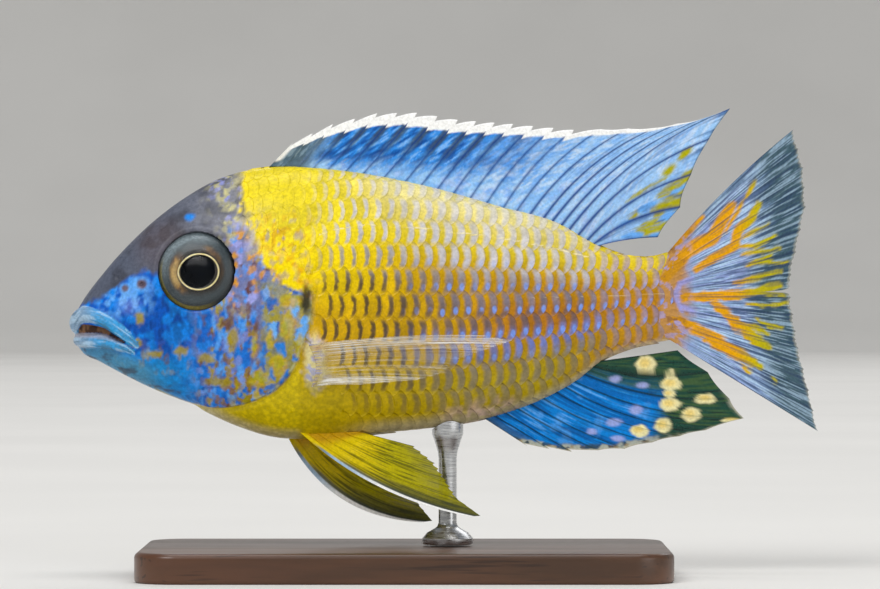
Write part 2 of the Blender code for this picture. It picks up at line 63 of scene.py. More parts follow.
# Body: outline from the side, then half its width and the height where it is widest
BODY_FRONT = 1.2
BODY_END = 100.8
BACK = [(1.2, -3.3), (2.6, -0.9), (5.5, 3.0), (12, 10.1), (20, 16.4), (27, 20.0), (33, 21.2),
        (45, 20.8), (58, 18.6), (72, 14.8), (82, 11.9), (88, 8.5), (93, 6.6), (97, 6.3), (101, 7.3)]
BELLY = [(1.2, -8.0), (2.3, -9.6), (5.3, -11.3), (13, -15.3), (20, -18.3), (28, -22.0), (35, -24.1),
         (40, -24.4), (52, -23.4), (62, -22.3), (72, -20.3), (80, -17.3), (85, -14.5), (89, -11.3),
         (93, -9.5), (101, -7.8)]
HALF_WIDTH = [(1.2, 1.2), (2.5, 2.8), (5, 4.1), (9, 5.5), (14, 6.8), (20, 7.8), (28, 8.8), (37, 9.3),
              (48, 9.0), (60, 7.8), (72, 6.0), (82, 4.3), (90, 3.1), (96, 2.1), (101, 1.1)]
WIDEST_HEIGHT = [(1.2, -5.6), (9, -4.4), (20, -2.5), (35, -2.0), (60, -2.0), (80, -1.5), (101, -0.2)]
UPPER_POWER = 1.95
LOWER_POWER = 2.15

# Bend of the tail to the fish's left
BEND_START = 62.0
BEND_AT_TIP = 3.0
TAIL_TIP = 125.0

# Skin
SKIN_STATIONS = 260
SKIN_SIDES = 144
SKIN_VOXEL = 0.23
SKIN_INSET = 0.22
HEAD_INSET = 0.05
TRUNK_START = 42.0
TRUNK_KEEP = 0.12
NEAR_SURFACE = 0.7

# Mouth: the slot between the lips, and the lips' line, half height and half thickness
MOUTH_ROOF = [(-2.0, -5.2), (3.0, -5.1), (6.0, -5.6), (9.0, -7.1), (11.8, -8.7)]
MOUTH_FLOOR = [(-2.0, -6.9), (5.0, -6.9), (8.0, -7.7), (11.8, -9.0)]
THROAT_FRONT = 2.0
THROAT_BACK = 24.0
THROAT_INSET = 1.35
THROAT_STATIONS = 40
UPPER_LIP = {
    "front": 1.35, "corner": 11.8, "spread": 5.65, "thick": 1.15,
    "path": [(1.35, -4.85), (1.7, -4.3), (2.3, -3.65), (3.6, -3.45), (5.3, -3.9), (7.0, -4.8), (8.7, -5.95),
             (10.3, -7.1), (11.8, -8.4)],
    "half": [(1.35, 1.75), (1.7, 1.6), (2.3, 1.4), (3.6, 1.2), (5.3, 1.1), (8.7, 1.25), (10.3, 1.1),
             (11.8, 0.5)]}
LOWER_LIP = {
    "front": 1.9, "corner": 11.2, "spread": 5.2, "thick": 1.05,
    "path": [(1.9, -7.75), (4.5, -7.85), (6.5, -8.0), (8.0, -8.4), (9.5, -8.9), (11.2, -9.6)],
    "half": [(1.9, 1.05), (4.5, 1.15), (6.5, 1.1), (8.0, 0.85), (9.5, 0.6), (11.2, 0.3)]}
LIP_THINNING = 0.6
LIP_STATIONS = 72
LIP_SIDES = 20

# Eyes
EYE_U, EYE_V = 21.9, 3.8
EYE_RADIUS = 6.45
EYE_BULGE = 1.9
EYE_DEPTH = 4.1
EYE_SINK = 0.75
EYE_FORWARD = radians(9)
EYE_UPWARD = radians(10)
SOCKET_GAP = 0.12
SOCKET_RINGS, SOCKET_SIDES = 24, 64
SOCKET_RIM, SOCKET_TOP, SOCKET_FLOOR = 0.25, 1.2, -6
PUPIL_ALONG, PUPIL_ACROSS = 3.15, 2.85
PUPIL_TURNED = 3.05
PUPIL_SHIFT = (0.50, -0.32)

# Nostrils
NOSTRIL_U, NOSTRIL_V = 12.7, 1.6
NOSTRIL_RADIUS = 0.45
NOSTRIL_DEPTH = 1.6 * NOSTRIL_RADIUS
NOSTRIL_RINGS, NOSTRIL_SIDES = 10, 16

# Gill covers and the lines on the head
GILL_EDGE = [(30.0, 25.5), (32.7, 19.0), (36.6, 10.5), (39.3, 5.0), (41.0, 0.0), (40.9, -3.5), (39.5, -8.5),
             (38.2, -12.0), (35.3, -15.6), (31.0, -17.8), (25.5, -18.9), (20.5, -18.2), (14.5, -15.6)]
GILL_TOP = 6.0
CHEEK_LINE = [(32.0, 4.5), (32.4, -2.0), (32.3, -9.0), (30.3, -13.0), (26.0, -15.6), (20.3, -16.4)]


def curve(points, at):
    """Height of the smooth curve through the points, at one place or at many."""
    xs, ys = np.array(points, float).T
    slopes = np.gradient(ys, xs)
    at = np.clip(np.asarray(at, float), xs[0], xs[-1])
    i = np.clip(np.searchsorted(xs, at) - 1, 0, len(xs) - 2)
    step = xs[i + 1] - xs[i]
    t = (at - xs[i]) / step
    start = (1 + 2 * t) * (1 - t) ** 2 * ys[i] + t * (1 - t) ** 2 * step * slopes[i]
    end = t * t * (3 - 2 * t) * ys[i + 1] + t * t * (t - 1) * step * slopes[i + 1]
    return start + end


def step(low, high, x):
    """0 below low, 1 above high and smooth between them. Falls instead if low is above high."""
    t = np.clip((np.asarray(x, float) - low) / (high - low), 0, 1)
    return t * t * (3 - 2 * t)


def bell(off, width):
    """1 in the middle, falling smoothly to almost 0 at twice the width."""
    return np.exp(-(off / width) ** 2)


def bend(u):
    """How far the body's middle moves across at u, where less than 0 is towards the fish's left."""
    share = np.maximum(u - BEND_START, 0.0) / (TAIL_TIP - BEND_START)
    return -BEND_AT_TIP * share * share


def world(points):
    """World places, in metres, of points on the fish."""
    points = np.asarray(points, float).reshape(-1, 3)
    u, y, v = points.T
    return np.stack([SNOUT_X + u, y + bend(u), AXIS_HEIGHT + v], axis=1) * MM


# Body surface

def section(u):
    """Top, bottom, half-width and widest height of the body at u."""
    return curve(BACK, u), curve(BELLY, u), curve(HALF_WIDTH, u), curve(WIDEST_HEIGHT, u)


def body_ring(u, angles, shrink=0.0):
    """Across and up round the body, from its top at angle 0 by its right side to its bottom at pi."""
    top, low, wide, mid = [x[:, None] for x in section(u)]
    c, s = np.cos(angles)[None, :], np.sin(angles)[None, :]
    reach = np.where(c > 0, top - mid, mid - low) - shrink
    power = np.where(c > 0, UPPER_POWER, LOWER_POWER)
    v = mid + reach * np.sign(c) * np.abs(c) ** (2 / power)
    y = (wide - shrink) * np.sign(s) * np.abs(s) ** (2 / power)
    return y, v


def height_share(u, v):
    """0 at the body's underside at u and 1 on its back."""
    top, low, _, _ = section(u)
    return (v - low) / (top - low)


def flank(u, v):
    """How far the body's side is from its middle at u and v."""
    top, low, wide, mid = section(u)
    above = np.asarray(v) > mid
    reach = np.where(above, top - mid, mid - low)
    power = np.where(above, UPPER_POWER, LOWER_POWER)
    share = np.clip(np.abs(v - mid) / reach, 0, 1)
    return wide * (1 - share ** power) ** (1 / power)


def belly_at(u, y):
    """Height of the body's underside at u and y."""
    _, low, wide, mid = section(u)
    share = np.clip(np.abs(y) / wide, 0, 1)
    return mid - (mid - low) * (1 - share ** LOWER_POWER) ** (1 / LOWER_POWER)


class Girth:
    """The body's side by u and by the length round it, up from where it is widest."""

    def __init__(self, stations=400, steps=720, samples=90):
        self.us = np.linspace(BODY_FRONT, BODY_END, stations)
        y, v = body_ring(self.us, np.linspace(0, pi, steps + 1))
        lengths = np.hypot(np.diff(y, axis=1), np.diff(v, axis=1))
        along = np.concatenate([np.zeros((stations, 1)), np.cumsum(lengths, axis=1)], axis=1)
        half = steps // 2
        self.up = along[:, half]
        self.down = along[:, -1] - along[:, half]
        shares = np.linspace(0, 1, samples)
        self.tables = []
        for sign, reach in ((1, self.up), (-1, self.down)):
            ys, vs = np.zeros((stations, samples)), np.zeros((stations, samples))
            for i in range(stations):
                at = along[i, half] - sign * shares * reach[i]
                ys[i] = np.interp(at, along[i], y[i])
                vs[i] = np.interp(at, along[i], v[i])
            self.tables.append((ys, vs))

    def place(self, u, s):
        """Half-width and height at u and at s round the side."""
        u, s = np.broadcast_arrays(np.asarray(u, float), np.asarray(s, float))
        at = np.clip((u - BODY_FRONT) / (BODY_END - BODY_FRONT), 0, 1) * (len(self.us) - 1)
        i = np.minimum(at.astype(int), len(self.us) - 2)
        f = at - i
        reach = np.where(s > 0, np.interp(u, self.us, self.up), np.interp(u, self.us, self.down))
        share = np.clip(np.abs(s) / reach, 0, 1) * (self.tables[0][0].shape[1] - 1)
        j = np.minimum(share.astype(int), self.tables[0][0].shape[1] - 2)
        g = share - j
        found = []
        for k in (0, 1):
            upper, lower = self.tables[0][k], self.tables[1][k]
            value = 0
            for di, wi in ((0, 1 - f), (1, f)):
                for dj, wj in ((0, 1 - g), (1, g)):
                    cell = np.where(s > 0, upper[i + di, j + dj], lower[i + di, j + dj])
                    value = value + cell * wi * wj
            found.append(value)
        return found

    def point(self, u, s):
        """Place on the fish's side, y being above 0, and outward normal."""
        y, v = self.place(u, s)
        nudge = 0.15
        y1, v1 = self.place(u + nudge, s)
        y0, v0 = self.place(u - nudge, s)
        y3, v3 = self.place(u, s + nudge)
        y2, v2 = self.place(u, s - nudge)
        along = np.stack([np.full_like(y, 2 * nudge), y1 - y0, v1 - v0], axis=-1)
        around = np.stack([np.zeros_like(y), y3 - y2, v3 - v2], axis=-1)
        normal = np.cross(around, along)
        normal /= np.linalg.norm(normal, axis=-1, keepdims=True) + 1e-9
        normal *= np.where(normal[..., 1:2] < 0, -1, 1)
        return np.stack([u + 0 * y, y, v], axis=-1), normal


# Patterns

def scatter(cells, seed):
    """A steady draw from 0 to 1 for each whole-number cell."""
    a, b, c = (cells[..., k].astype(np.int64) for k in range(3))
    mixed = (a * 73856093) ^ (b * 19349663) ^ (c * 83492791) ^ (seed * 40503 + 977)
    mixed = (mixed ^ (mixed >> 13)) * 1274126177
    mixed = (mixed ^ (mixed >> 16)) & 0xFFFF
    return mixed / 65535.0


def cloud(points, size, seed=0):
    """Smooth noise from 0 to 1. size is how far apart its lumps are, one number or three."""
    p = np.asarray(points, float) / np.asarray(size, float) + 31.7
    cell = np.floor(p).astype(np.int64)
    f = p - cell
    f = f * f * (3 - 2 * f)
    total = 0
    for corner in np.ndindex(2, 2, 2):
        corner = np.array(corner)
        weight = np.prod(np.where(corner == 1, f, 1 - f), axis=-1)
        total = total + weight * scatter(cell + corner, seed + SEED)
    return total


def clouds(points, size, seed=0):
    """Two sizes of noise together."""
    size = np.asarray(size, float)
    return (cloud(points, size, seed) * 2 + cloud(points, size / 2.1, seed + 5)) / 3


def weave(a, b, seed):
    """Noise on two measures, such as the numbers of a fin's rays and the shares along them."""
    return clouds(np.stack([a, b, 0 * a], 1), 1.0, seed)


def mosaic(points, size, seed):
    """Two steady draws from 0 to 1 for the small uneven patch that each point lies in."""
    points = np.asarray(points, float)
    warp = np.stack([cloud(points, 0.55, seed + k) - 0.5 for k in (1, 2, 3)], axis=1) * 0.6
    p = (points + warp) / np.asarray(size, float) + 57.3
    cell = np.floor(p).astype(np.int64)
    best = np.full(len(p), 1e9)
    first, second = np.zeros(len(p)), np.zeros(len(p))
    for corner in np.ndindex(3, 3, 3):
        other = cell + np.array(corner) - 1
        middle = other + np.stack([scatter(other, seed + k) for k in (11, 12, 13)], axis=1)
        d = np.sum((p - middle) ** 2, axis=1)
        closer = d < best
        best = np.where(closer, d, best)
        first = np.where(closer, scatter(other, seed + 14), first)
        second = np.where(closer, scatter(other, seed + 15), second)
    return first, second


def colour(code):
    """Linear colour of a hexadecimal one."""
    value = np.array([int(code[k:k + 2], 16) for k in (0, 2, 4)]) / 255
    return np.where(value <= 0.04045, value / 12.92, ((value + 0.055) / 1.055) ** 2.4)


def blend(under, over, amount):
    """One colour over another by an amount from 0 to 1. A colour is an array or a code."""
    under, over = (colour(tint) if isinstance(tint, str) else tint for tint in (under, over))
    amount = np.clip(np.asarray(amount, float), 0, 1)[..., None]
    return under * (1 - amount) + over * amount


class Paint:
    """The colour of many points, built up in layers."""

    def __init__(self, under):
        self.tint = under

    def lay(self, over, amount):
        """Lays a colour over what is there, by an amount at each point."""
        self.tint = blend(self.tint, over, amount)
        return self.tint

    def patches(self, draw, shares, where):
        """Paints each patch by its draw: shares are (colour, from, to) and where is how strongly."""
        for tint, low, high in shares:
            self.lay(tint, where * ((draw >= low) & (draw < high)))

    def shade(self, factor):
        """Multiplies the colour by a number at each point."""
        self.tint = self.tint * factor[:, None]
        return self.tint


def spot(u, v, at, radii, soft=0.35):
    """1 inside an oval and 0 outside it."""
    d = np.hypot((u - at[0]) / radii[0], (v - at[1]) / radii[1])
    return step(1 + soft, 1 - soft, d)


def line_distance(u, v, path):
    """Distance to a line through points, and how far along it as a share."""
    path = np.array(path, float)[:, :2]
    lengths = np.hypot(*np.diff(path, axis=0).T)
    before = np.concatenate([[0], np.cumsum(lengths)])
    best = np.full(np.shape(u), 1e9)
    share = np.zeros(np.shape(u))
    for k in range(len(path) - 1):
        a, b = path[k], path[k + 1]
        t = ((u - a[0]) * (b[0] - a[0]) + (v - a[1]) * (b[1] - a[1])) / lengths[k] ** 2
        t = np.clip(t, 0, 1)
        d = np.hypot(u - a[0] - t * (b[0] - a[0]), v - a[1] - t * (b[1] - a[1]))
        closer = d < best
        best = np.where(closer, d, best)
        share = np.where(closer, (before[k] + t * lengths[k]) / before[-1], share)
    return best, share


def stroke(u, v, path, width, soft=0.3):
    """1 on a line of some width, thinner towards its ends, and 0 off it."""
    d, share = line_distance(u, v, path)
    taper = 0.55 + 0.45 * np.sin(pi * np.clip(share, 0.02, 0.98)) ** 0.5
    return step(width / 2 * taper + soft / 2, width / 2 * taper - soft / 2, d)


def smooth_line(points, count):
    """Points along the smooth curve through the given ones."""
    places = np.array(points, float)
    along = np.concatenate([[0], np.cumsum(np.hypot(*np.diff(places, axis=0).T))])
    at = np.linspace(0, along[-1], count)
    return [(float(curve(list(zip(along, places[:, 0])), a)), float(curve(list(zip(along, places[:, 1])), a)))
            for a in at]


GILL_LINE = smooth_line(GILL_EDGE, 60)


def gill_edge_at(v):
    """u of the gill cover's rear edge at height v."""
    line = np.array([p for p in GILL_LINE if p[0] > 30.5])
    order = np.argsort(line[:, 1])
    return np.interp(v, line[order, 1], line[order, 0])


# Mesh helpers

def link(name, data):
    """A new object in the scene."""
    obj = bpy.data.objects.new(name, data)
    bpy.context.scene.collection.objects.link(obj)
    return obj


def face_outwards(mesh, merge=0.0):
    """Turns all faces outwards, once points closer than merge are joined."""
    bm = bmesh.new()
    bm.from_mesh(mesh)
    if merge:
        bmesh.ops.remove_doubles(bm, verts=bm.verts, dist=merge)
    bmesh.ops.recalc_face_normals(bm, faces=bm.faces)
    bm.to_mesh(mesh)
    bm.free()


def plain_mesh(name, points, faces, merge=0.0):
    """An object from lists of points and faces, in the points' own unit."""
    mesh = bpy.data.meshes.new(name)
    mesh.from_pydata([tuple(map(float, p)) for p in points], [], faces)
    face_outwards(mesh, merge)
    return link(name, mesh)


def circle(radius, count):
    """Places round a circle."""
    turns = [2 * pi * k / count for k in range(count)]
    return [(radius * cos(turn), radius * sin(turn)) for turn in turns]


def ring_faces(rings, count, closed=False):
    """Faces over rings of count points. The last ring meets the first, or both ends are capped."""
    sides = []
    for i in range(rings if closed else rings - 1):
        near, far = i * count, (i + 1) % rings * count
        for k in range(count):
            after = (k + 1) % count
            sides.append((near + k, near + after, far + after, far + k))
    if closed:
        return sides
    return [tuple(range(count)), *sides, tuple(range((rings - 1) * count, rings * count))]


def tube(name, rings):
    """A closed skin over rings of points."""
    return plain_mesh(name, [p for ring in rings for p in ring], ring_faces(len(rings), len(rings[0])))


def sheet_faces(lines, count):
    """Faces over a grid, of count points on each line, and the points in order round its edge."""
    i, j = np.meshgrid(np.arange(lines - 1), np.arange(count - 1), indexing="ij")
    a = (i * count + j).ravel()
    edge = list(range(count)) + [(k + 1) * count - 1 for k in range(1, lines)]
    edge += [(lines - 1) * count + k for k in range(count - 2, -1, -1)]
    edge += [k * count for k in range(lines - 2, 0, -1)]
    return np.stack([a, a + count, a + count + 1, a + 1], axis=1), np.array(edge)


def piece(obj, material, slot, *replaced):
    """Gives a visible piece its material, on the body and in place of CAD nodes; its slot is not used."""
    obj.data.materials.append(material)
    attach(obj, "root")
    if replaced:
        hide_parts(*replaced)


def evaluated(obj):
    """Applies the object's modifiers."""
    shown = obj.evaluated_get(bpy.context.evaluated_depsgraph_get())
    mesh = bpy.data.meshes.new_from_object(shown)
    obj.modifiers.clear()
    obj.data = mesh
    return obj


def combine(obj, other, operation):
    """Adds the other object's form or cuts it away, and removes it."""
    modifier = obj.modifiers.new(operation, "BOOLEAN")
    modifier.operation = operation
    modifier.solver = "EXACT"
    modifier.object = other
    evaluated(obj)
    bpy.data.objects.remove(other, do_unlink=True)
    return obj


def grid_mesh(name, points, faces, rims):
    """A mesh object from arrays: points in the fish's frame, faces of four corners, and which are rims."""
    mesh = bpy.data.meshes.new(name)
    places = world(points).astype(np.float32)
    faces = np.asarray(faces, np.int32)
    mesh.vertices.add(len(places))
    mesh.vertices.foreach_set("co", places.ravel())
    mesh.loops.add(faces.size)
    mesh.loops.foreach_set("vertex_index", faces.ravel())
    mesh.polygons.add(len(faces))
    mesh.polygons.foreach_set("loop_start", np.arange(0, faces.size, faces.shape[1], dtype=np.int32))
    mesh.update(calc_edges=True)
    mesh.shade_smooth()
    mesh.polygons.foreach_set("use_smooth", ~np.asarray(rims, bool))
    mesh.update()
    return link(name, mesh)


def set_colour(obj, name, values):
    values = np.asarray(values, np.float32)
    if values.shape[1] == 3:
        values = np.concatenate([values, np.ones((len(values), 1), np.float32)], axis=1)
    layer = obj.data.attributes.new(name, "FLOAT_COLOR", "POINT")
    layer.data.foreach_set("color", values.ravel())


def set_number(obj, name, values):
    layer = obj.data.attributes.new(name, "FLOAT", "POINT")
    layer.data.foreach_set("value", np.asarray(values, np.float32).ravel())


def set_vector(obj, name, values):
    layer = obj.data.attributes.new(name, "FLOAT_VECTOR", "POINT")
    layer.data.foreach_set("vector", np.asarray(values, np.float32).ravel())


# Colours of the fish
SUN = "FBDF00"
LEMON = "E8D428"
CREAM = "E6DDA2"
GOLD = "D2A600"
AMBER = "BE8808"
OLIVE = "A89400"
MOSS = "77780A"
BELLY_WHITE = "CFCAB4"
SLATE = "565C6C"
SLATE_DARK = "3A3C45"
NAPE = "858690"
BROWN = "6E4A30"
COBALT = "0058C0"
AZURE = "0C8CF2"
CYAN = "1498D4"
SKY = "70B6FC"
LAVENDER = "9AA0E6"
VIOLET = "70709A"
DASH = "4A3C30"
DASH_BLUE = "6078C8"
DASH_PALE = "C6C4CC"
JAW_GREY = "4E90B0"
LIP = "3C9AD6"
LIP_PINK = "94A0AE"
INK = "10141C"
MOUTH = "4A3022"
PERIWINKLE = "A0CEFC"
ROYAL = "0C70CC"
RAY_BLUE = "083A86"
SMOKE = "40505C"
WHITE = "FCFCFA"
LIME = "B4AE00"
TEAL = "16483A"
EGG = "F4EAB0"
EGG_YOLK = "F0C62C"
LILAC = "AEB6EE"
TAIL_GREY = "3E5E68"
TAIL_BLUE = "8CA8D2"
HONEY = "DCC40A"

LATERAL_UPPER = [(42.0, 9.8), (45.3, 10.7), (48.7, 11.3), (55.3, 11.2), (62, 10.5), (68.7, 9.7), (75.3, 8.7),
                 (82, 7.3), (87, 6.0)]
LATERAL_LOWER = [(76.2, -0.7), (88, -0.4), (99.5, 0.0)]
BARS = [56.2, 63.7, 75.3, 83.2]


def trunk_ground(u, v, points):
    """The gold of the scales, from yellow on the nape to orange on the tail and olive below, with partly
    painted sheen on the back.
    """
    up = height_share(u, v)
    paint = Paint(GOLD)
    paint.lay(AMBER, step(50, 84, u))
    paint.lay(SUN, step(62, 38, u) * step(0.42, 0.66, up))
    paint.lay(LEMON, step(0.62, 0.82, up) * 0.8)
    # Pale cream band along the upper back: partly the scales' own pale colour and partly painted sheen.
    paint.lay(CREAM, step(0.76, 0.98, up) * step(44, 56, u) * step(90, 76, u) * 0.7)
    paint.lay("BCA406", step(0.40, 0.16, up) * step(98, 78, u) * 0.85)
    paint.lay(MOSS, step(0.34, 0.14, up) * step(58, 66, u) * step(92, 80, u) * 0.18)
    paint.lay("B87414", step(0.58, 0.50, up) * step(0.34, 0.42, up) * step(62, 78, u) * 0.8)
    paint.lay(HONEY, step(50, 34, u) * step(0.34, 0.12, up) * 0.8)
    paint.lay(AMBER, step(80, 92, u) * step(1.0, 0.7, up) * 0.55)
    freckled = step(29, 32, u) * step(44, 37, u) * step(-2, 0, v) * step(15, 11, v)
    paint.lay("D0900C", freckled * step(0.54, 0.64, clouds(points, 0.8, 49)) * 0.6)
    paint.lay("9A94A8", freckled * step(0.64, 0.70, clouds(points, 0.9, 50)) * 0.6)
    whitish = step(0.07, 0.02, up) * step(44, 54, u) * 0.8 + step(0.14, 0.02, up) * step(38, 28, u) * 0.6
    paint.lay(BELLY_WHITE, whitish * 0.7)
    rosy = step(60, 66, u) * step(78, 72, u) * step(0.16, 0.04, up) * step(0.45, 0.6, clouds(points, 1.4, 48))
    paint.lay("D4B4B4", rosy * 0.6)
    bars = sum(bell(u - at, 2.0) for at in BARS)
    paint.shade(1 - 0.16 * np.clip(bars, 0, 1) * step(0.1, 0.3, up) * step(0.95, 0.6, up))
    mottle = clouds(points, 2.2, 3)
    fine = clouds(points, 0.6, 4)
    return paint.shade(0.66 + 0.32 * mottle + 0.34 * fine)


def trunk_mark(u, v):
    """Colour between the gold blobs: pale on the back, brown and blue on the flank."""
    up = height_share(u, v)
    rear = step(50, 68, u)
    front, back = Paint(DASH), Paint("7A7688")
    front.lay("8E8C98", step(0.56, 0.68, up))
    front.lay(DASH_PALE, step(0.66, 0.80, up))
    back.lay(DASH_PALE, step(0.58, 0.74, up))
    back.lay("66565C", step(0.55, 0.48, up) * step(0.38, 0.43, up) * 0.9)
    back.lay(DASH_BLUE, step(0.43, 0.38, up) * step(0.25, 0.32, up) * 0.9)
    back.lay("857A5E", step(0.30, 0.20, up))
    back.lay("A48A92", step(85, 93, u) * 0.8)
    strength = step(38, 48, u + 5 * step(0.7, 0.4, up)) * 0.98
    steady = 0.30 * step(44, 54, u)
    strength = strength * (steady + (1 - steady) * step(0.05, 0.30, up + 0.10 * rear))
    strength = strength * (1 - 0.35 * step(0.78, 1.0, up))
    spark = step(54, 64, u) * step(0.20, 0.34, up) * step(0.85, 0.5, up)
    return blend(front.tint, back.tint, rear), np.clip(strength, 0, 0.95), spark


BLUE_TOP = [(1.0, -2.2), (4.5, -1.2), (7.3, 0.2), (9, 1.8), (11.2, 3.2), (13.7, 4.2), (16, 3.5), (22, 2.0),
            (30, 4.0), (34, 8.0), (42, 9.0)]


def head_ground(u, v, points):
    """Colour of the head: slate forehead, blue cheek, spots behind the eye, yellow nape and throat."""
    wobble = (clouds(points, 1.7, 21) - 0.5) * 2
    fine = (clouds(points, 0.8, 22) - 0.5) * 2
    blue_top = curve(BLUE_TOP, u)
    paint = Paint(SLATE)
    paint.lay(NAPE, step(14, 31, u + 2 * wobble))
    paint.lay(SLATE_DARK, step(0.48, 0.72, clouds(points, 2.6, 8)) * 0.6)
    paint.lay(BROWN, spot(u, v, (16.0, 8.0), (4.2, 4.5), 0.6) * 0.2)
    paint.lay(cheek_blue(u, v, points, wobble), step(-0.5, 0.7, blue_top - v + 1.1 * wobble + 0.5 * fine))
    cheek_patches(paint, u, v, points, wobble, fine)
    grain = (clouds(points, 1.15, 43), clouds(points, 0.9, 44), *mosaic(points, (0.8, 0.9, 1.05), 220))
    spots_behind_eye(paint, u, v, wobble, grain)
    gill_mosaic(paint, u, v, points, wobble, grain)
    nape_yellow(paint, u, v, points, wobble, grain)
    throat(paint, u, v, points, wobble)
    return paint.tint


def cheek_blue(u, v, points, wobble):
    """Deep blue with lighter clouds in front and streaks behind."""
    streaks = clouds(points / np.array([0.7, 1, 1.9]), 1.0, 35)
    paint = Paint(COBALT)
    paint.lay(AZURE, step(0.45, 0.62, clouds(points, 1.5, 31)) * 0.8)
    wrinkles = step(0.50, 0.36, streaks) * spot(u, v, (17, -4.5), (7, 5), 0.6)
    paint.shade(1 - 0.45 * wrinkles)
    pale = step(0.42, 0.60, clouds(points, 0.95, 33))
    paint.lay(SKY, spot(u, v, (10.0, -1.6), (4.2, 2.2), 0.6) * pale * 0.9)
    paint.lay(LAVENDER, spot(u, v, (10.6, -2.0), (2.0, 1.3), 0.6) * 0.25)
    paint.lay(SKY, spot(u, v, (12.6, 1.8), (3.2, 1.6), 0.6) * pale * 0.5)
    paint.lay(CYAN, step(-8.5, -12.5, v + wobble) * step(26, 14, u) * 0.7)
    rear = step(19.5, 24.5, u + 0.5 * wobble) * step(2.0, -1.5, v)
    paint.lay("2474D2", rear * 0.5)
    paint.lay("62AAF6", rear * step(0.50, 0.64, streaks) * 0.75)
    first, second = mosaic(points, (0.85, 0.9, 1.9), 210)
    tints = [("8A8EC8", 0.0, 0.15), ("0C50AC", 0.15, 0.26), ("665468", 0.26, 0.32)]
    paint.patches(first, tints, rear * (0.35 + 0.4 * second))
    ochre = rear * step(0.80, 0.81, first) * (0.30 + 0.50 * step(-5, -8, v) + 0.35 * step(26, 30, u))
    paint.lay(blend("A08418", "86603A", second), ochre)
    front = step(24, 18, u) * step(-1, -4, v) * step(-11.5, -8.5, v)
    return paint.shade(1 - 0.25 * front * step(0.5, 0.62, streaks))


CHEEK_PATCHES = [((12.3, -4.0), (0.8, 1.1)), ((14.8, -9.9), (1.5, 0.65)), ((19.3, -9.6), (1.1, 0.75)),
                 ((23.6, -10.7), (1.4, 0.9)), ((28.0, -7.4), (0.9, 1.7)), ((12.0, -8.3), (1.0, 0.6)),
                 ((25.5, -14.6), (2.4, 0.7)), ((26.0, -5.0), (0.6, 1.1)), ((29.6, -2.8), (0.8, 1.2))]
GILL_PATCHES = [((37.4, -1.2), (1.9, 1.3)), ((37.0, -5.2), (1.3, 2.5)), ((39.2, -8.6), (0.9, 1.9)),
                ((35.4, -11.8), (1.2, 2.2)), ((32.2, -13.8), (1.5, 1.5)), ((31.5, -8.8), (0.7, 1.8)),
                ((34.2, -7.6), (0.7, 1.6))]


def cheek_patches(paint, u, v, points, wobble, fine):
    """Olive patches and freckles on the cheek, and pits ringed with blue."""
    rough = clouds(points, 0.6, 24) - 0.5
    for at, radii in CHEEK_PATCHES:
        shape = spot(u + 0.6 * wobble + rough, v + 0.5 * fine + rough, at, radii, 0.3)
        paint.lay(OLIVE, shape * 0.85)
    freckles = step(0.60, 0.68, clouds(points / np.array([0.75, 1, 1.5]), 0.9, 25))
    where = step(20, 25, u) * step(3.5, 0.5, v) + spot(u, v, (16, -11), (7, 2.2), 0.8) * 0.7
    tint = blend(BROWN, OLIVE, step(0.4, 0.6, clouds(points, 1.5, 26)))
    paint.lay(tint, np.clip(where, 0, 1) * freckles * 0.9)
    for at, size in (((NOSTRIL_U, NOSTRIL_V), 1.0), ((9.9, 0.9), 0.7)):
        paint.lay(SKY, spot(u, v, at, (1.5 * size, 1.3 * size), 0.3) * 0.6)
        paint.lay(BROWN, spot(u, v, at, (0.85 * size, 0.8 * size), 0.3) * 0.85)
    bright = spot(u + 0.4 * wobble, v + 0.3 * fine, (20.6, 12.7), (0.8, 0.6), 0.5)
    paint.lay(AZURE, bright * 0.9)


YELLOW_EDGE = [(-1.5, 41.0), (-0.6, 39.8), (0.6, 37.9), (2.0, 35.6), (5.3, 33.3), (9.0, 31.7), (13.2, 30.3),
               (20.7, 29.2)]


def spots_behind_eye(paint, u, v, wobble, grain):
    """Orange, violet and brown spots on grey blue."""
    dots, other, first, second = grain
    behind = step(26.2, 28.0, u + 0.4 * wobble) * step(-4.5, -1.5, v + wobble) * step(15, 10, v)
    ground = Paint("7A80AC")
    ground.lay(BROWN, step(31, 28, u) * step(0.4, 0.7, other) * 0.6)
    ground.lay("6C88C8", step(0.45, 0.65, dots) * step(6, 0, v) * 0.7)
    ground.lay(NAPE, step(7, 11, v) * 0.7)
    paint.lay(ground.tint, behind * 0.9)
    tints = [("E09A10", 0.0, 0.17), ("A88C20", 0.17, 0.22), ("A4A8EA", 0.22, 0.40), ("5C9CF4", 0.40, 0.50),
             ("6A3C2C", 0.50, 0.58)]
    paint.patches(first, tints, behind * (0.55 + 0.4 * second) * step(14, 10, v))


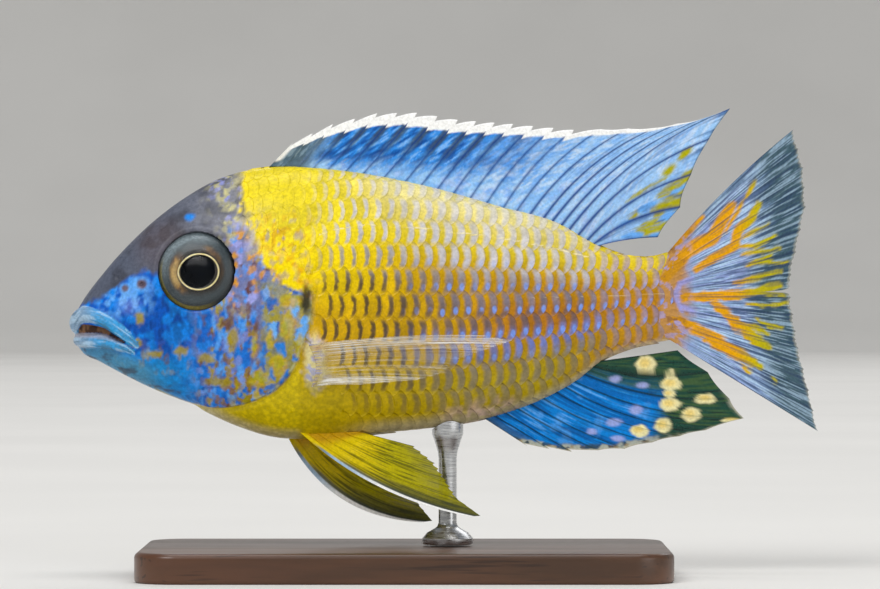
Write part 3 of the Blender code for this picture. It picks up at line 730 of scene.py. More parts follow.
def gill_mosaic(paint, u, v, points, wobble, grain):
    """The gill cover's blue and olive mosaic, its larger patches, its crease and its pale edge."""
    dots, other, _, second = grain
    opercle = step(31.5, 33.5, u + 0.5 * wobble) * step(3.5, 0.5, v) * step(-16.5, -12, v)
    third, fourth = mosaic(points, (1.15, 1.1, 2.0), 230)
    paint.lay("2C78C8", opercle * 0.6)
    tints = [("A89A06", 0.0, 0.40), ("8E8414", 0.40, 0.52), ("2A84E0", 0.52, 0.68), ("1C58B0", 0.68, 0.78),
             (SKY, 0.78, 0.84)]
    paint.patches(third, tints, opercle * (0.55 + 0.4 * fourth))
    paint.lay("4E86C0", opercle * step(0.62, 0.72, other) * 0.4)
    rim = outside_gill(u, v)
    border = step(-3.6, -0.8, rim + 1.2 * wobble) * step(2, -3, v) * step(25, 30, u)
    paint.patches(fourth, [("C4AC04", 0.0, 0.34), ("9C9008", 0.34, 0.50)], border * 0.9)
    rough = clouds(points, 0.7, 27) - 0.5
    olive = blend(LIME, GOLD, second)
    for at, radii in GILL_PATCHES:
        paint.lay(olive, spot(u + 0.6 * wobble + rough, v + 1.4 * rough, at, radii, 0.25) * 0.8)
    crease, _ = line_distance(u, v, CHEEK_LINE)
    paint.lay(VIOLET, bell(crease, 0.28) * step(-14, -11, v) * 0.6)
    pale = bell(rim + 0.25, 0.22) * step(1, -2, v) * step(24, 30, u) * step(0.45, 0.6, dots)
    paint.lay("C4D0A8", pale * 0.6)


def nape_yellow(paint, u, v, points, wobble, grain):
    """The yellow that begins behind a ragged edge, and the specks before and behind that edge."""
    dots, other, first, second = grain
    edge = curve(YELLOW_EDGE, v)
    jagged = 1.6 * (clouds(points, 1.5, 46) - 0.5) + 1.5 * (first - 0.5) * step(17, 13, v)
    yellow = step(-0.25, 0.25, u - edge + 1.5 * jagged) * step(-1.8, -0.8, v + 0.5 * wobble)
    paint.lay(blend(SUN, "E8A808", step(0.5, 0.7, other) * step(12, 8, v) * 0.8), yellow)
    flecks = yellow * step(6.5, 1.0, u - edge) * step(0.72, 0.74, second) * step(16, 12, v)
    paint.lay("A09098", flecks * 0.6)
    before = u + 0.3 * (v - 14)
    speckle = step(21.5, 28, before) * step(5, 9, v) * step(0.58, 0.66, dots) * (1 - yellow)
    paint.lay("CFC890", speckle * 0.45)
    pale = step(22.5, 28, before) * step(5, 9, v) * (1 - yellow) * step(0.70, 0.72, first)
    paint.lay(blend("D8D08C", LAVENDER, step(0.5, 0.6, second)), pale * 0.7)


def throat(paint, u, v, points, wobble):
    """Lower jaw, isthmus and gill membrane."""
    up = v - curve(BELLY, u)
    jaw = step(18, 12, u + wobble) * step(5.0, 2.6, up)
    paint.lay(JAW_GREY, jaw * 0.8)
    smudge = step(0.50, 0.66, clouds(points, [1.5, 1.5, 0.6], 51))
    paint.lay(SLATE_DARK, smudge * step(3.4, 1.2, up) * step(24, 16, u) * 0.75)
    yellow = step(-0.2, 0.4, outside_gill(u, v)) * step(13.5, 16.5, u)
    paint.lay(HONEY, yellow)
    paint.lay(BELLY_WHITE, yellow * step(2.2, 0.6, up) * step(20, 24, u) * 0.6)


def outside_gill(u, v):
    """How far a place is below or behind the gill cover's edge, in mm, and less than 0 on it."""
    d, _ = line_distance(u, v, GILL_LINE)
    line = np.array(GILL_LINE)
    lower = line[line[:, 1] < -12]
    order = np.argsort(lower[:, 0])
    floor = np.interp(u, lower[order, 0], lower[order, 1], left=-30)
    beyond = (u > gill_edge_at(v)) | ((v < floor) & (u < 39))
    return np.where(beyond, d, -d)


# Relief of the skin

PLATE_RISE = 0.34
PLATE_GROOVE = 0.30
CREASE_DEPTH = 0.22
EYE_RIM_RISE = 0.18
PORE_DEPTH, PORE_RADIUS = 0.22, 0.32
PORES = [(11.0, -5.6), (14.0, -6.6), (17.2, -6.9), (20.4, -6.6), (23.4, -5.6), (26.0, -3.6), (14.6, -12.3),
         (18.2, -13.6), (22.0, -14.5), (26.0, -14.9), (29.4, -12.6), (31.4, -8.6), (8.6, 2.6), (6.9, -0.1)]
MOUTH_FOLD = [(12.2, -8.4), (14.4, -9.6), (15.4, -11.8)]
MOUTH_FOLD_DEPTH = 0.20
FIN_BASE, FIN_BASE_RADII = (41.9, -11.6), (1.7, 4.6)
FIN_BASE_RISE = 0.55


def relief(u, v):
    """How far the skin stands proud, in mm."""
    out = outside_gill(u, v)
    reach = step(GILL_TOP + 2.5, GILL_TOP - 0.5, v)
    front = step(30.0, 33.5, u + np.maximum(-11 - v, 0) * 1.2)
    plate = step(0.12, -0.25, out) * reach
    height = PLATE_RISE * plate * front
    height = height - PLATE_GROOVE * bell(out - 0.35, 0.35) * reach * step(16, 22, u)
    crease, along = line_distance(u, v, CHEEK_LINE)
    height = height - CREASE_DEPTH * bell(crease, 0.35) * step(0.0, 0.1, along) * step(1.0, 0.9, along)
    ring = np.hypot(u - EYE_U, v - EYE_V) - EYE_RADIUS
    height = height + EYE_RIM_RISE * bell(ring - 0.75, 0.5)
    for at in PORES:
        height = height - PORE_DEPTH * bell(np.hypot(u - at[0], v - at[1]), PORE_RADIUS)
    fold, _ = line_distance(u, v, MOUTH_FOLD)
    height = height - MOUTH_FOLD_DEPTH * bell(fold, 0.3)
    return height + FIN_BASE_RISE * spot(u, v, FIN_BASE, FIN_BASE_RADII, 0.5)


# Skin

def body_shell(name, shrink=0.0, start=BODY_FRONT, end=BODY_END, stations=SKIN_STATIONS):
    """The body's form, or a smaller one inside it."""
    us = start + (end - start) * np.linspace(0, 1, stations + 1) ** 1.15
    y, v = body_ring(us, np.linspace(0, 2 * pi, SKIN_SIDES, endpoint=False), shrink)
    return tube(name, [[(u, a, b) for a, b in zip(ys, vs)] for u, ys, vs in zip(us, y, v)])


def prism(name, outline, half_depth=16.0):
    """An outline seen from the side, carried through the fish."""
    obj = tube(name, [[(u, y, v) for u, v in outline] for y in (-half_depth, half_depth)])
    bm = bmesh.new()
    bm.from_mesh(obj.data)
    bmesh.ops.triangulate(bm, faces=bm.faces)
    bm.to_mesh(obj.data)
    bm.free()
    return obj


def mouth_slot():
    """The gap between the jaws, open in front and filled by flesh further in."""
    slot = prism("slot", smooth_line(MOUTH_ROOF, 14) + smooth_line(MOUTH_FLOOR, 14)[::-1])
    flesh = body_shell("flesh", THROAT_INSET, THROAT_FRONT, THROAT_BACK, THROAT_STATIONS)
    return combine(slot, flesh, "DIFFERENCE")


def lip(name, shape):
    """A horseshoe round the front of the snout, full in front and thin at the mouth's corners."""
    length = shape["corner"] - shape["front"]
    rings = []
    for k in range(LIP_STATIONS + 1):
        turn = pi * (k / LIP_STATIONS - 0.5)
        u = shape["corner"] - length * cos(turn)
        middle = Vector((u, shape["spread"] * sin(turn), float(curve(shape["path"], u))))
        heading = Vector((length * sin(turn), shape["spread"] * cos(turn), 0)).normalized()
        outward = heading.cross(Vector((0, 0, 1)))
        half = float(curve(shape["half"], u))
        thick = shape["thick"] * (1 - LIP_THINNING * abs(sin(turn)) ** 4)
        ring = []
        for j in range(LIP_SIDES):
            angle = 2 * pi * j / LIP_SIDES
            ring.append(tuple(middle + outward * (thick * cos(angle)) + Vector((0, 0, half * sin(angle)))))
        rings.append(ring)
    return tube(name, rings)


def eye_frame(side):
    """Centre of the eye and its turn."""
    centre = Vector((EYE_U, side * (float(flank(EYE_U, EYE_V)) - EYE_SINK), EYE_V))
    turn = Matrix.Rotation(side * EYE_FORWARD, 3, "Z") @ Matrix.Rotation(side * EYE_UPWARD, 3, "X")
    return centre, turn


def eye_places(side, points):
    """Puts points of (forward, up, outward) on an eye into the fish's frame."""
    centre, turn = eye_frame(side)
    points = np.asarray(points, float).reshape(-1, 3)
    flat = np.stack([points[:, 0], side * points[:, 2], points[:, 1]], axis=1)
    return flat @ np.array(turn).T + np.array(centre)


def socket(side):
    """The hollow that an eye sits in."""
    rings = []
    for k in range(1, SOCKET_RINGS):
        angle = pi * k / SOCKET_RINGS
        out = cos(angle)
        deep = (EYE_BULGE if out > 0 else EYE_DEPTH) + SOCKET_GAP
        ring = [(x, y, out * deep) for x, y in circle((EYE_RADIUS + SOCKET_GAP) * sin(angle), SOCKET_SIDES)]
        rings.append(eye_places(side, ring))
    return tube("socket", rings)


def nostril(side):
    """The hollow of a nostril."""
    at = Vector((NOSTRIL_U, side * float(flank(NOSTRIL_U, NOSTRIL_V)), NOSTRIL_V))
    rings = []
    for k in range(1, NOSTRIL_RINGS):
        angle = pi * k / NOSTRIL_RINGS
        y = NOSTRIL_DEPTH * cos(angle)
        outline = circle(NOSTRIL_RADIUS * sin(angle), NOSTRIL_SIDES)
        rings.append([at + Vector((x, y, z)) for x, z in outline])
    return tube("nostril", rings)


def join(objects):
    """One object from several, in the first one."""
    bm = bmesh.new()
    for obj in objects:
        bm.from_mesh(obj.data)
    bm.to_mesh(objects[0].data)
    bm.free()
    for obj in objects[1:]:
        bpy.data.objects.remove(obj, do_unlink=True)
    return objects[0]


def skin_form():
    """The whole body in one closed mesh, fine on the head and coarser under the scales."""
    body = body_shell("skin")
    cuts = [mouth_slot()]
    for side in SIDES.values():
        cuts += [socket(side), nostril(side)]
    combine(body, join(cuts), "DIFFERENCE")
    join([body, lip("upper", UPPER_LIP), lip("lower", LOWER_LIP)])
    remesh = body.modifiers.new("remesh", "REMESH")
    remesh.mode = "VOXEL"
    remesh.voxel_size = SKIN_VOXEL
    smooth = body.modifiers.new("smooth", "SMOOTH")
    smooth.factor = 0.5
    smooth.iterations = 4
    evaluated(body)
    group = body.vertex_groups.new(name="trunk")
    places, _ = read_points(body.data)
    behind = np.nonzero((places[:, 0] > TRUNK_START) | in_sockets(places))[0]
    group.add([int(i) for i in behind], 1.0, "REPLACE")
    thin = body.modifiers.new("thin", "DECIMATE")
    thin.vertex_group = "trunk"
    thin.ratio = 1 - (1 - TRUNK_KEEP) * len(behind) / len(places)
    evaluated(body)
    body.vertex_groups.clear()
    return body


def read_points(mesh):
    """The places and normals of a mesh."""
    count = len(mesh.vertices)
    places, normals = np.zeros(count * 3, np.float32), np.zeros(count * 3, np.float32)
    mesh.vertices.foreach_get("co", places)
    mesh.vertices.foreach_get("normal", normals)
    return places.reshape(-1, 3).astype(float), normals.reshape(-1, 3).astype(float)


def scaled_share(u, v):
    """1 where the body carries scales, and 0 on the bare front of the head."""
    return np.maximum(step(-0.3, 0.3, outside_gill(u, v)) * step(30, 40, u), step(24, 29, u) * step(4, 8, v))


def make_skin():
    """The skin with its relief and its paint, sunk a little where scales cover it."""
    skin = skin_form()
    points, normals = read_points(skin.data)
    u, y, v = points.T
    out = np.abs(y) > flank(u, v) - NEAR_SURFACE
    lips = lip_share(points)
    inset = HEAD_INSET + (SKIN_INSET - HEAD_INSET) * scaled_share(u, v)
    in_eye = in_sockets(points)
    lift = np.where(out & ~in_eye, (relief(u, v) * (1 - lips)) - inset, -HEAD_INSET)
    moved = points + normals * lift[:, None]
    paint = skin_colour(u, y, v, points, lips)
    place = world(moved).astype(np.float32)
    skin.data.vertices.foreach_set("co", place.ravel())
    skin.data.update()
    skin.data.shade_smooth()
    set_colour(skin, "paint", paint)
    set_number(skin, "breast", step(0.2, 0.8, outside_gill(u, v)) * step(15, 19, u) * step(-12, -15, v))
    skin.data.materials.clear()
    piece(skin, skin_material(), "body_scales", "head", "gill_cover_left", "gill_cover_right", "upper_jaw",
          "lower_jaw", "trunk", "tail_base")


def in_sockets(points):
    """True inside the eye sockets."""
    found = np.zeros(len(points), bool)
    for side in SIDES.values():
        centre, turn = eye_frame(side)
        flat = (points - np.array(centre)) @ np.array(turn)
        around = np.hypot(flat[:, 0], flat[:, 2])
        out = flat[:, 1] * side
        found |= (around < EYE_RADIUS + SOCKET_RIM) & (out < SOCKET_TOP) & (out > SOCKET_FLOOR)
    return found


def lip_share(points):
    """1 on the lips and 0 away from them."""
    u, y, v = points.T
    best = np.zeros(len(points))
    for shape in (UPPER_LIP, LOWER_LIP):
        half = curve(shape["half"], u) + 0.15
        near = np.abs(v - curve(shape["path"], u)) / half
        length = shape["corner"] - shape["front"]
        around = np.hypot((u - shape["corner"]) / length, y / shape["spread"])
        thick = shape["thick"] / 5.5 + 0.03
        hit = step(1.1, 0.95, near) * step(thick + 0.05, thick - 0.03, np.abs(around - 1))
        best = np.maximum(best, hit * (u < shape["corner"] + 0.3))
    return best


def skin_colour(u, y, v, points, lips):
    """Colour of every part of the skin."""
    trunk = trunk_ground(u, v, points)
    head = trunk.copy()
    near = u < 46
    head[near] = sum(head_ground(u[near] + du, v[near] + dv, points[near] + np.array([du, 0, dv]))
                     for du, dv in ((0, 0), (0.16, 0.10), (-0.04, -0.18))) / 3
    edge = outside_gill(u, v)
    trunk_share = np.maximum(step(-0.1, 0.3, edge) * step(38.0, 39.5, u),
                             step(29, 34, u + 0.2 * (v - 10)) * step(5, 8, v))
    trunk_share = np.maximum(trunk_share, step(40.8, 41.4, u))
    paint = Paint(blend(head, trunk, trunk_share))
    line = v - curve(UPPER_LIP["path"], u)
    lower = v - curve(LOWER_LIP["path"], u)
    upper = line > -1.9
    along = np.where(upper, line, lower)
    lip = Paint(LIP)
    lip.lay(LIP_PINK, step(6.0, 2.0, u) * 0.7)
    lip.lay(CYAN, step(-0.2, -0.9, along) * upper * step(4, 8, u) * 0.8)
    streak = clouds(np.stack([u * 0.35, y * 0.35, along * 3.2], 1), 1.0, 65)
    lip.lay("BCD8EC", step(0.52, 0.66, streak) * 0.55)
    lip.lay("54707E", step(0.46, 0.34, streak) * 0.55)
    lip.lay("B8A8A8", (~upper) * step(0.3, 0.9, along) * 0.6)
    paint.lay(lip.tint, lips)
    inner = (np.abs(y) < flank(u, v) - 0.8) & (u > 1.9) & (u < 13) & (v < -4.0) & (v > -9.5)
    gum = blend(MOUTH, "8A6446", step(0.45, 0.62, clouds(points, 0.9, 66)))
    paint.lay(gum, inner * (1 - lips * 0.8))
    ragged = clouds(points, 0.7, 64) - 0.5
    black = spot(u + 0.8 * ragged, v + 0.8 * ragged, (40.0, -0.9), (0.8, 2.4), 0.5)
    paint.lay("20201C", black * step(6.5, 7.5, np.abs(y)) * 0.92)
    shape = clouds(points, 1.2, 62) - 0.5
    root = spot(u + 2 * shape, v + shape, (41.4, -11.4), (1.9, 4.6), 0.35) * step(5.5, 6.5, np.abs(y))
    flesh = Paint(CREAM)
    flesh.lay(LILAC, step(0.48, 0.62, clouds(points, 1.0, 61)) * 0.8)
    flesh.lay("D8904C", step(0.58, 0.68, clouds(points, 1.0, 63)) * step(-12, -8, v) * 0.7)
    return paint.lay(flesh.tint, root * 0.9)


# Scales

SCALE_LENGTH = [(20, 1.5), (32, 1.65), (46, 2.0), (84, 2.0), (101, 1.8)]
ROW_HEIGHT = [(24, 3.1), (34, 3.6), (46, 4.1), (62, 4.1), (80, 3.6), (100, 2.9)]
SCALE_HALF_LONG = 2.15
SCALE_HALF_TALL = 2.75
SCALE_SLOPE = 0.026
SCALE_THICK = 0.014
SCALE_LIFT = 0.033
SCALE_DOME = 0.012
BELLY_SINK = 0.06
LATERAL_TUBES = [(LATERAL_UPPER, 0.10, 0.24), (LATERAL_LOWER, 0.06, 0.20)]
SCALE_COLUMNS = np.array([-1.0, -0.45, -0.1, 0.12, 0.3, 0.46, 0.6, 0.74, 0.87, 1.0])
SCALE_ROWS = np.linspace(-1, 1, 9)
NAPE_FRONT, NAPE_FLOOR = 26.5, 5.0
BARE_ROUND_EYE = 2.3
THROAT_TOP, THROAT_REAR = -15.5, 44.5
BARE_ROOT, BARE_ROOT_RADII = (41.3, -11.4), (3.0, 5.0)
MARK_PLACE = 1.62
MARK_BOW = 0.11
MARK_HALF_TALL = 2.0
SPARK_DROP = 0.95
UV_PATCH = 0.003
UV_LENGTH = 106.0
UV_GIRTH = 112.0


def scale_places(girth, draw):
    """Centre u, length round the side, size and side of every scale."""
    line = [22.5]
    while line[-1] < 100:
        line.append(line[-1] + float(curve(SCALE_LENGTH, line[-1])))
    found = []
    for side in SIDES.values():
        for row in range(-9, 11):
            for k in range(len(line)):
                u = float(np.interp(k + 0.5 * (row % 2), range(len(line)), line))
                s = row * float(curve(ROW_HEIGHT, u))
                above = s > np.interp(u, girth.us, girth.up) + 0.6
                below = -s > np.interp(u, girth.us, girth.down) + 0.4
                if u < 99.6 and not above and not below:
                    size = float(curve(SCALE_LENGTH, u)) / 2.0
                    found.append((u + draw.normal(0, 0.05), s + draw.normal(0, 0.06), size, side))
    return np.array(found)


def keep_scaled(places, girth):
    """Only the scales behind the gill cover and on the nape."""
    u, s = places[:, 0], places[:, 1]
    _, v = girth.place(u, s)
    behind = (outside_gill(u, v) > 0.8) & (u > 39) & (v <= GILL_TOP)
    off_eye = np.hypot(u - EYE_U, v - EYE_V) > EYE_RADIUS + BARE_ROUND_EYE
    nape = (v > NAPE_FLOOR) & (u > NAPE_FRONT) & off_eye
    throat_side = (v < THROAT_TOP) & (u < THROAT_REAR)
    from_root = ((at - middle) / radius for at, middle, radius in zip((u, v), BARE_ROOT, BARE_ROOT_RADII))
    pectoral_root = np.hypot(*from_root) < 1
    return places[(behind | nape | (u > TRUNK_START)) & ~throat_side & ~pectoral_root]


def scale_template():
    """Along and across, in half sizes, of a scale's grid, and its faces."""
    x, q = np.meshgrid(SCALE_COLUMNS, SCALE_ROWS, indexing="ij")
    along = x * np.sqrt(1 - q * q / 2)
    across = q * np.sqrt(1 - x * x / 2)
    face, edge = sheet_faces(*x.shape)
    after = np.roll(edge, -1)
    rim = np.stack([edge, edge + x.size, after + x.size, after], axis=1)
    faces = np.concatenate([face, face[:, ::-1] + x.size, rim])
    return along.ravel(), across.ravel(), faces, np.arange(len(faces)) >= 2 * len(face)


def twice(values):
    """A scale's values for its upper face, and again for its lower one."""
    return np.concatenate([values, values], axis=1)


def scales(name, places, girth, draw, look):
    """One side's coat piece: every scale is a thin closed body that lies back over the next."""
    along, across, faces, rims = scale_template()
    n, m = len(places), len(along)
    size = places[:, 2][:, None] * draw.uniform(0.97, 1.03, n)[:, None]
    a = along[None, :] * SCALE_HALF_LONG * size
    b = across[None, :] * SCALE_HALF_TALL * (curve(ROW_HEIGHT, places[:, 0]) / 4.1)[:, None]
    twist = draw.normal(0, 0.03, n)[:, None]
    u = places[:, 0][:, None] + a * np.cos(twist) - b * np.sin(twist)
    s = places[:, 1][:, None] + a * np.sin(twist) + b * np.cos(twist)
    base, normal = girth.point(np.clip(u, BODY_FRONT, BODY_END), s)
    mirror = np.array([1, places[0, 3], 1])
    base, normal = base * mirror, normal * mirror
    at_u, at_v = base[..., 0], base[..., 2]
    dome = SCALE_DOME * (1 - across[None, :] ** 2)
    tubes = sum(tall * bell(line_distance(at_u, at_v, path)[0], wide) for path, tall, wide in LATERAL_TUBES)
    slope = (SCALE_SLOPE * (1 - 0.55 * step(48, 34, places[:, 0])))[:, None]
    sunk = BELLY_SINK * step(50, 44, at_u) * step(-13, -17, at_v)
    height = -SKIN_INSET + SCALE_LIFT + slope * a + dome + relief(at_u, at_v) + tubes - sunk
    upper = base + normal * height[..., None]
    lower_face = base + normal * (height - SCALE_THICK)[..., None]
    points = np.concatenate([upper, lower_face], axis=1).reshape(-1, 3)
    offsets = (np.arange(n) * 2 * m)[:, None, None]
    corners = (faces[None] + offsets).reshape(-1, 4)
    if places[0, 3] > 0:
        corners = corners[:, ::-1]
    obj = grid_mesh(name, points, corners, np.tile(rims, n))
    both = twice(upper).reshape(-1, 3)
    uu, yy, vv = both.T
    shade = draw.uniform(0.90, 1.07, n)
    shade = 1 + (shade - 1) * step(40, 52, places[:, 0] + 8 * step(0, 6, places[:, 1]))
    paint_scales(obj, uu, yy, vv, both, np.repeat(shade, 2 * m))
    wide = np.repeat((0.34 + 0.28 * step(46, 64, places[:, 0]))[:, None], 2 * m, 1)
    cell = np.stack([twice(a), twice(b), wide], axis=-1)
    set_vector(obj, "cell", cell.reshape(-1, 3))
    bake_map(obj, places, a, b)
    piece(obj, look, "body_scales")


def paint_scales(obj, u, y, v, points, shade):
    """Gold of each scale, the tone between the gold blobs and the pale spots among them."""
    ground = skin_colour(u, y, v, points, np.zeros(len(u))) * shade[:, None]
    mark, strength, spark = trunk_mark(u, v)
    mark = mark * (0.66 + 0.7 * clouds(points, 1.6, 131))[:, None]
    strength = strength * (0.70 + 0.50 * clouds(points, 2.4, 132)) * (1 - step(38, 30, u) * step(4, 8, v))
    line = np.full(len(u), 9.0)
    for path, faint in ((LATERAL_UPPER, 0.02), (LATERAL_LOWER, 0.15)):
        off = v - curve(path, u)
        off = np.hypot(off, faint)
        line = np.where((np.abs(off) < 2) & (u > path[0][0]) & (u < path[-1][0]), off, line)
    set_number(obj, "line", line)
    set_number(obj, "loose", 0.95 - 0.50 * step(52, 70, u))
    set_colour(obj, "paint", ground)
    set_colour(obj, "mark", mark)
    set_number(obj, "strength", np.clip(strength, 0, 0.92))
    set_number(obj, "spark", spark * step(0.30, 0.55, clouds(points, 2.0, 133)))


def bake_map(obj, places, a, b):
    """Each scale is a small patch at its root's place on the unrolled skin."""
    root_u = places[:, 0] / UV_LENGTH
    root_s = np.where(places[:, 3] < 0, 0.25, 0.75) + places[:, 1] / UV_GIRTH
    patch_u = root_u[:, None] + a / (2 * SCALE_HALF_LONG) * UV_PATCH
    patch_s = root_s[:, None] + b / (2 * SCALE_HALF_TALL) * UV_PATCH
    uv = np.stack([twice(patch_u), twice(patch_s)], -1)
    layer = obj.data.uv_layers.new(name="OFBake")
    loops = np.zeros(len(obj.data.loops), np.int32)
    obj.data.loops.foreach_get("vertex_index", loops)
    layer.data.foreach_set("uv", uv.reshape(-1, 2)[loops].astype(np.float32).ravel())


# Materials

class Nodes:
    """Short forms for building a material's nodes."""

    def __init__(self, name):
        self.material = bpy.data.materials.new(name)
        self.material.use_nodes = True
        self.tree = self.material.node_tree
        self.shader = self.tree.nodes["Principled BSDF"]

    def give(self, socket, value):
        """Wires another node's output to an input, or sets it to a number or a colour's code."""
        if isinstance(value, bpy.types.NodeSocket):
            self.tree.links.new(value, socket)
        else:
            socket.default_value = (*colour(value), 1.0) if isinstance(value, str) else value

    def add(self, kind, inputs, **settings):
        """A node with some of its inputs and settings given."""
        node = self.tree.nodes.new(kind)
        for key, value in settings.items():
            setattr(node, key, value)
        for key, value in inputs.items():
            self.give(node.inputs[key], value)
        return node

    def set(self, **inputs):
        """Gives the shader itself its inputs."""
        for key, value in inputs.items():
            self.give(self.shader.inputs[key.replace("_", " ")], value)

    def attribute(self, name, output="Fac"):
        return self.add("ShaderNodeAttribute", {}, attribute_name=name).outputs[output]

    def place(self):
        """The point on the object, in metres."""
        return self.add("ShaderNodeTexCoord", {}).outputs["Object"]

    def noise(self, scale, detail, stretch=None, rough=0.5):
        place = self.place()
        if stretch is not None:
            place = self.add("ShaderNodeMapping", {"Scale": stretch, "Vector": place}).outputs["Vector"]
        inputs = {"Scale": scale, "Detail": detail, "Roughness": rough, "Vector": place}
        return self.add("ShaderNodeTexNoise", inputs).outputs["Fac"]

    def range(self, value, low, high, to_low, to_high, kind="SMOOTHSTEP"):
        inputs = {"Value": value, "From Min": low, "From Max": high, "To Min": to_low, "To Max": to_high}
        return self.add("ShaderNodeMapRange", inputs, interpolation_type=kind).outputs["Result"]

    def drift(self, scale, detail, low, high):
        """Noise that drifts from one value to another."""
        return self.range(self.noise(scale, detail), 0.3, 0.7, low, high)

    def math(self, operation, a, b=None):
        inputs = {0: a} if b is None else {0: a, 1: b}
        return self.add("ShaderNodeMath", inputs, operation=operation).outputs[0]

    def times(self, a, b):
        return self.math("MULTIPLY", a, b)

    def plus(self, a, b):
        return self.math("ADD", a, b)

    def mix(self, factor, a, b, mode="MIX"):
        inputs = {0: factor, 6: a, 7: b}
        return self.add("ShaderNodeMix", inputs, data_type="RGBA", blend_type=mode).outputs[2]

    def grey(self, value):
        return self.add("ShaderNodeCombineColor", {0: value, 1: value, 2: value}).outputs[0]

    def shade(self, tint, value):
        """Multiplies a colour by a number."""
        return self.mix(1.0, tint, self.grey(value), "MULTIPLY")

    def bump(self, height, strength, distance):
        node = self.add("ShaderNodeBump", {"Strength": strength, "Distance": distance, "Height": height})
        self.set(Normal=node.outputs["Normal"])


def skin_material():
    n = Nodes("skin")
    cells = n.add("ShaderNodeTexVoronoi", {"Scale": 1000, "Vector": n.place()}).outputs["Distance"]
    grain = n.times(n.range(cells, 0.15, 0.75, 0.0, 1.0), n.attribute("breast"))
    tint = n.mix(n.times(grain, 0.35), n.attribute("paint", "Color"), "8E7E08")
    n.bump(n.math("SUBTRACT", n.noise(2600, 3), grain), 0.3, 0.00008)
    n.set(Base_Color=n.shade(tint, n.drift(1900, 3, 0.86, 1.12)), Roughness=n.drift(900, 2, 0.26, 0.42),
          Specular_IOR_Level=0.14, Coat_Weight=0.06, Coat_Roughness=0.15)
    return n.material


def scale_material():
    """Each scale's own colour, a dark curved mark near its rear edge and a bright spot beside it."""
    n = Nodes("scales")
    split = n.add("ShaderNodeSeparateXYZ", {0: n.attribute("cell", "Vector")})
    along, across, mark_width = split.outputs
    warp = n.range(n.noise(900, 3), 0.3, 0.7, -0.16, 0.16, "LINEAR")
    centre = n.plus(n.plus(n.plus(along, n.times(n.times(across, across), MARK_BOW)), -MARK_PLACE), warp)
    side = n.math("POWER", n.math("ABSOLUTE", n.math("DIVIDE", centre, mark_width)), 1.6)
    end = n.math("POWER", n.math("ABSOLUTE", n.math("DIVIDE", across, MARK_HALF_TALL)), 3.0)
    fade = n.times(n.range(end, 0.15, 1.2, 0.0, 1.0), n.attribute("loose"))
    strip = n.times(n.range(side, 0.05, 1.8, 1.0, 0.0), n.math("SUBTRACT", 1.0, fade))
    tint = n.mix(n.times(strip, n.attribute("strength")), n.attribute("paint", "Color"),
                 n.attribute("mark", "Color"))
    from_spark = n.math("POWER", n.times(n.math("SUBTRACT", along, MARK_PLACE), 2.2), 2.0)
    below_spark = n.math("POWER", n.times(n.plus(across, SPARK_DROP), 1.35), 2.0)
    bright = n.times(n.range(n.plus(from_spark, below_spark), 0.2, 1.3, 1.0, 0.0), n.attribute("spark"))
    tint = n.mix(n.times(bright, 0.8), tint, "7FA4FA")
    tint = n.mix(n.range(n.attribute("line"), 0.05, 0.26, 0.75, 0.0), tint, "F2E6B8")
    n.bump(n.noise(2400, 3), 0.2, 0.00006)
    n.set(Base_Color=n.shade(tint, n.drift(2100, 3, 0.88, 1.12)), Roughness=n.drift(800, 2, 0.24, 0.40),
          Specular_IOR_Level=0.14, Coat_Weight=0.05, Coat_Roughness=0.15)
    return n.material


# Fins. A ray is its number, where its root is and its tip; rays between these are blended.

DORSAL_RAYS = [(1, 33.8, 37.6, 25.3), (3, 38.7, 44.2, 28.3), (5, 43.7, 51.6, 30.1), (7, 49.5, 58.2, 30.2),
               (9, 56.5, 65.0, 29.0), (12, 64.5, 74.2, 28.3), (15, 72.8, 84.3, 27.3),
               (18, 79.5, 97.8, 27.6), (20, 82.5, 105.3, 29.0), (21, 83.8, 110.2, 30.8),
               (22, 85.3, 106.7, 25.7), (23, 86.8, 103.7, 19.8), (24, 88.0, 101.9, 14.4),
               (25, 89.0, 98.2, 9.4)]
ANAL_RAYS = [(1, 69.8, 76.5, -25.3), (3, 73.3, 84.0, -26.3), (5, 77.5, 92.8, -25.8),
             (7, 81.7, 102.0, -23.7), (8, 83.3, 106.3, -22.7), (9, 84.8, 112.6, -20.7),
             (10, 86.4, 110.2, -17.4), (11, 88.0, 106.6, -13.0), (12, 89.6, 101.6, -9.4)]
CAUDAL_ROOT_U = 100.2
CAUDAL_RAYS = [(1, 7.2, 120.7, 27.3), (3, 5.4, 122.4, 21.0), (5, 3.4, 122.8, 14.5), (8, 0.6, 120.4, 3.2),
               (9, -0.4, 120.3, -0.6), (12, -3.4, 121.6, -9.0), (14, -5.6, 123.3, -16.0),
               (16, -7.6, 124.8, -22.8)]
PELVIC_Y = 2.6
PELVIC_SPLAY = 0.22
PELVIC_RAYS = {
    "left": [(1, 39.5, 67.0, -36.8), (2, 40.7, 68.7, -36.7), (3, 42.4, 64.9, -33.9),
             (4, 44.4, 63.2, -31.0), (5, 46.6, 61.2, -28.1), (6, 48.8, 57.8, -25.3)],
    "right": [(1, 36.4, 59.0, -38.3), (2, 37.6, 60.7, -38.1), (3, 39.4, 58.6, -35.4),
              (4, 41.6, 57.2, -32.3), (5, 44.0, 55.4, -29.2), (6, 46.4, 53.6, -26.2)]}
PELVIC_BOW = {"left": -0.07, "right": -0.15}
PECTORAL_ROOT_U = 40.9
PECTORAL_RAYS = [(1, -8.3, 69.5, -6.8), (2, -8.8, 74.2, -7.7), (4, -10.1, 70.3, -9.1),
                 (7, -11.8, 64.5, -11.1), (9, -13.0, 63.2, -13.0), (11, -14.2, 58.5, -14.2),
                 (13, -15.3, 49.0, -14.9)]
PECTORAL_LIFT = 1.9

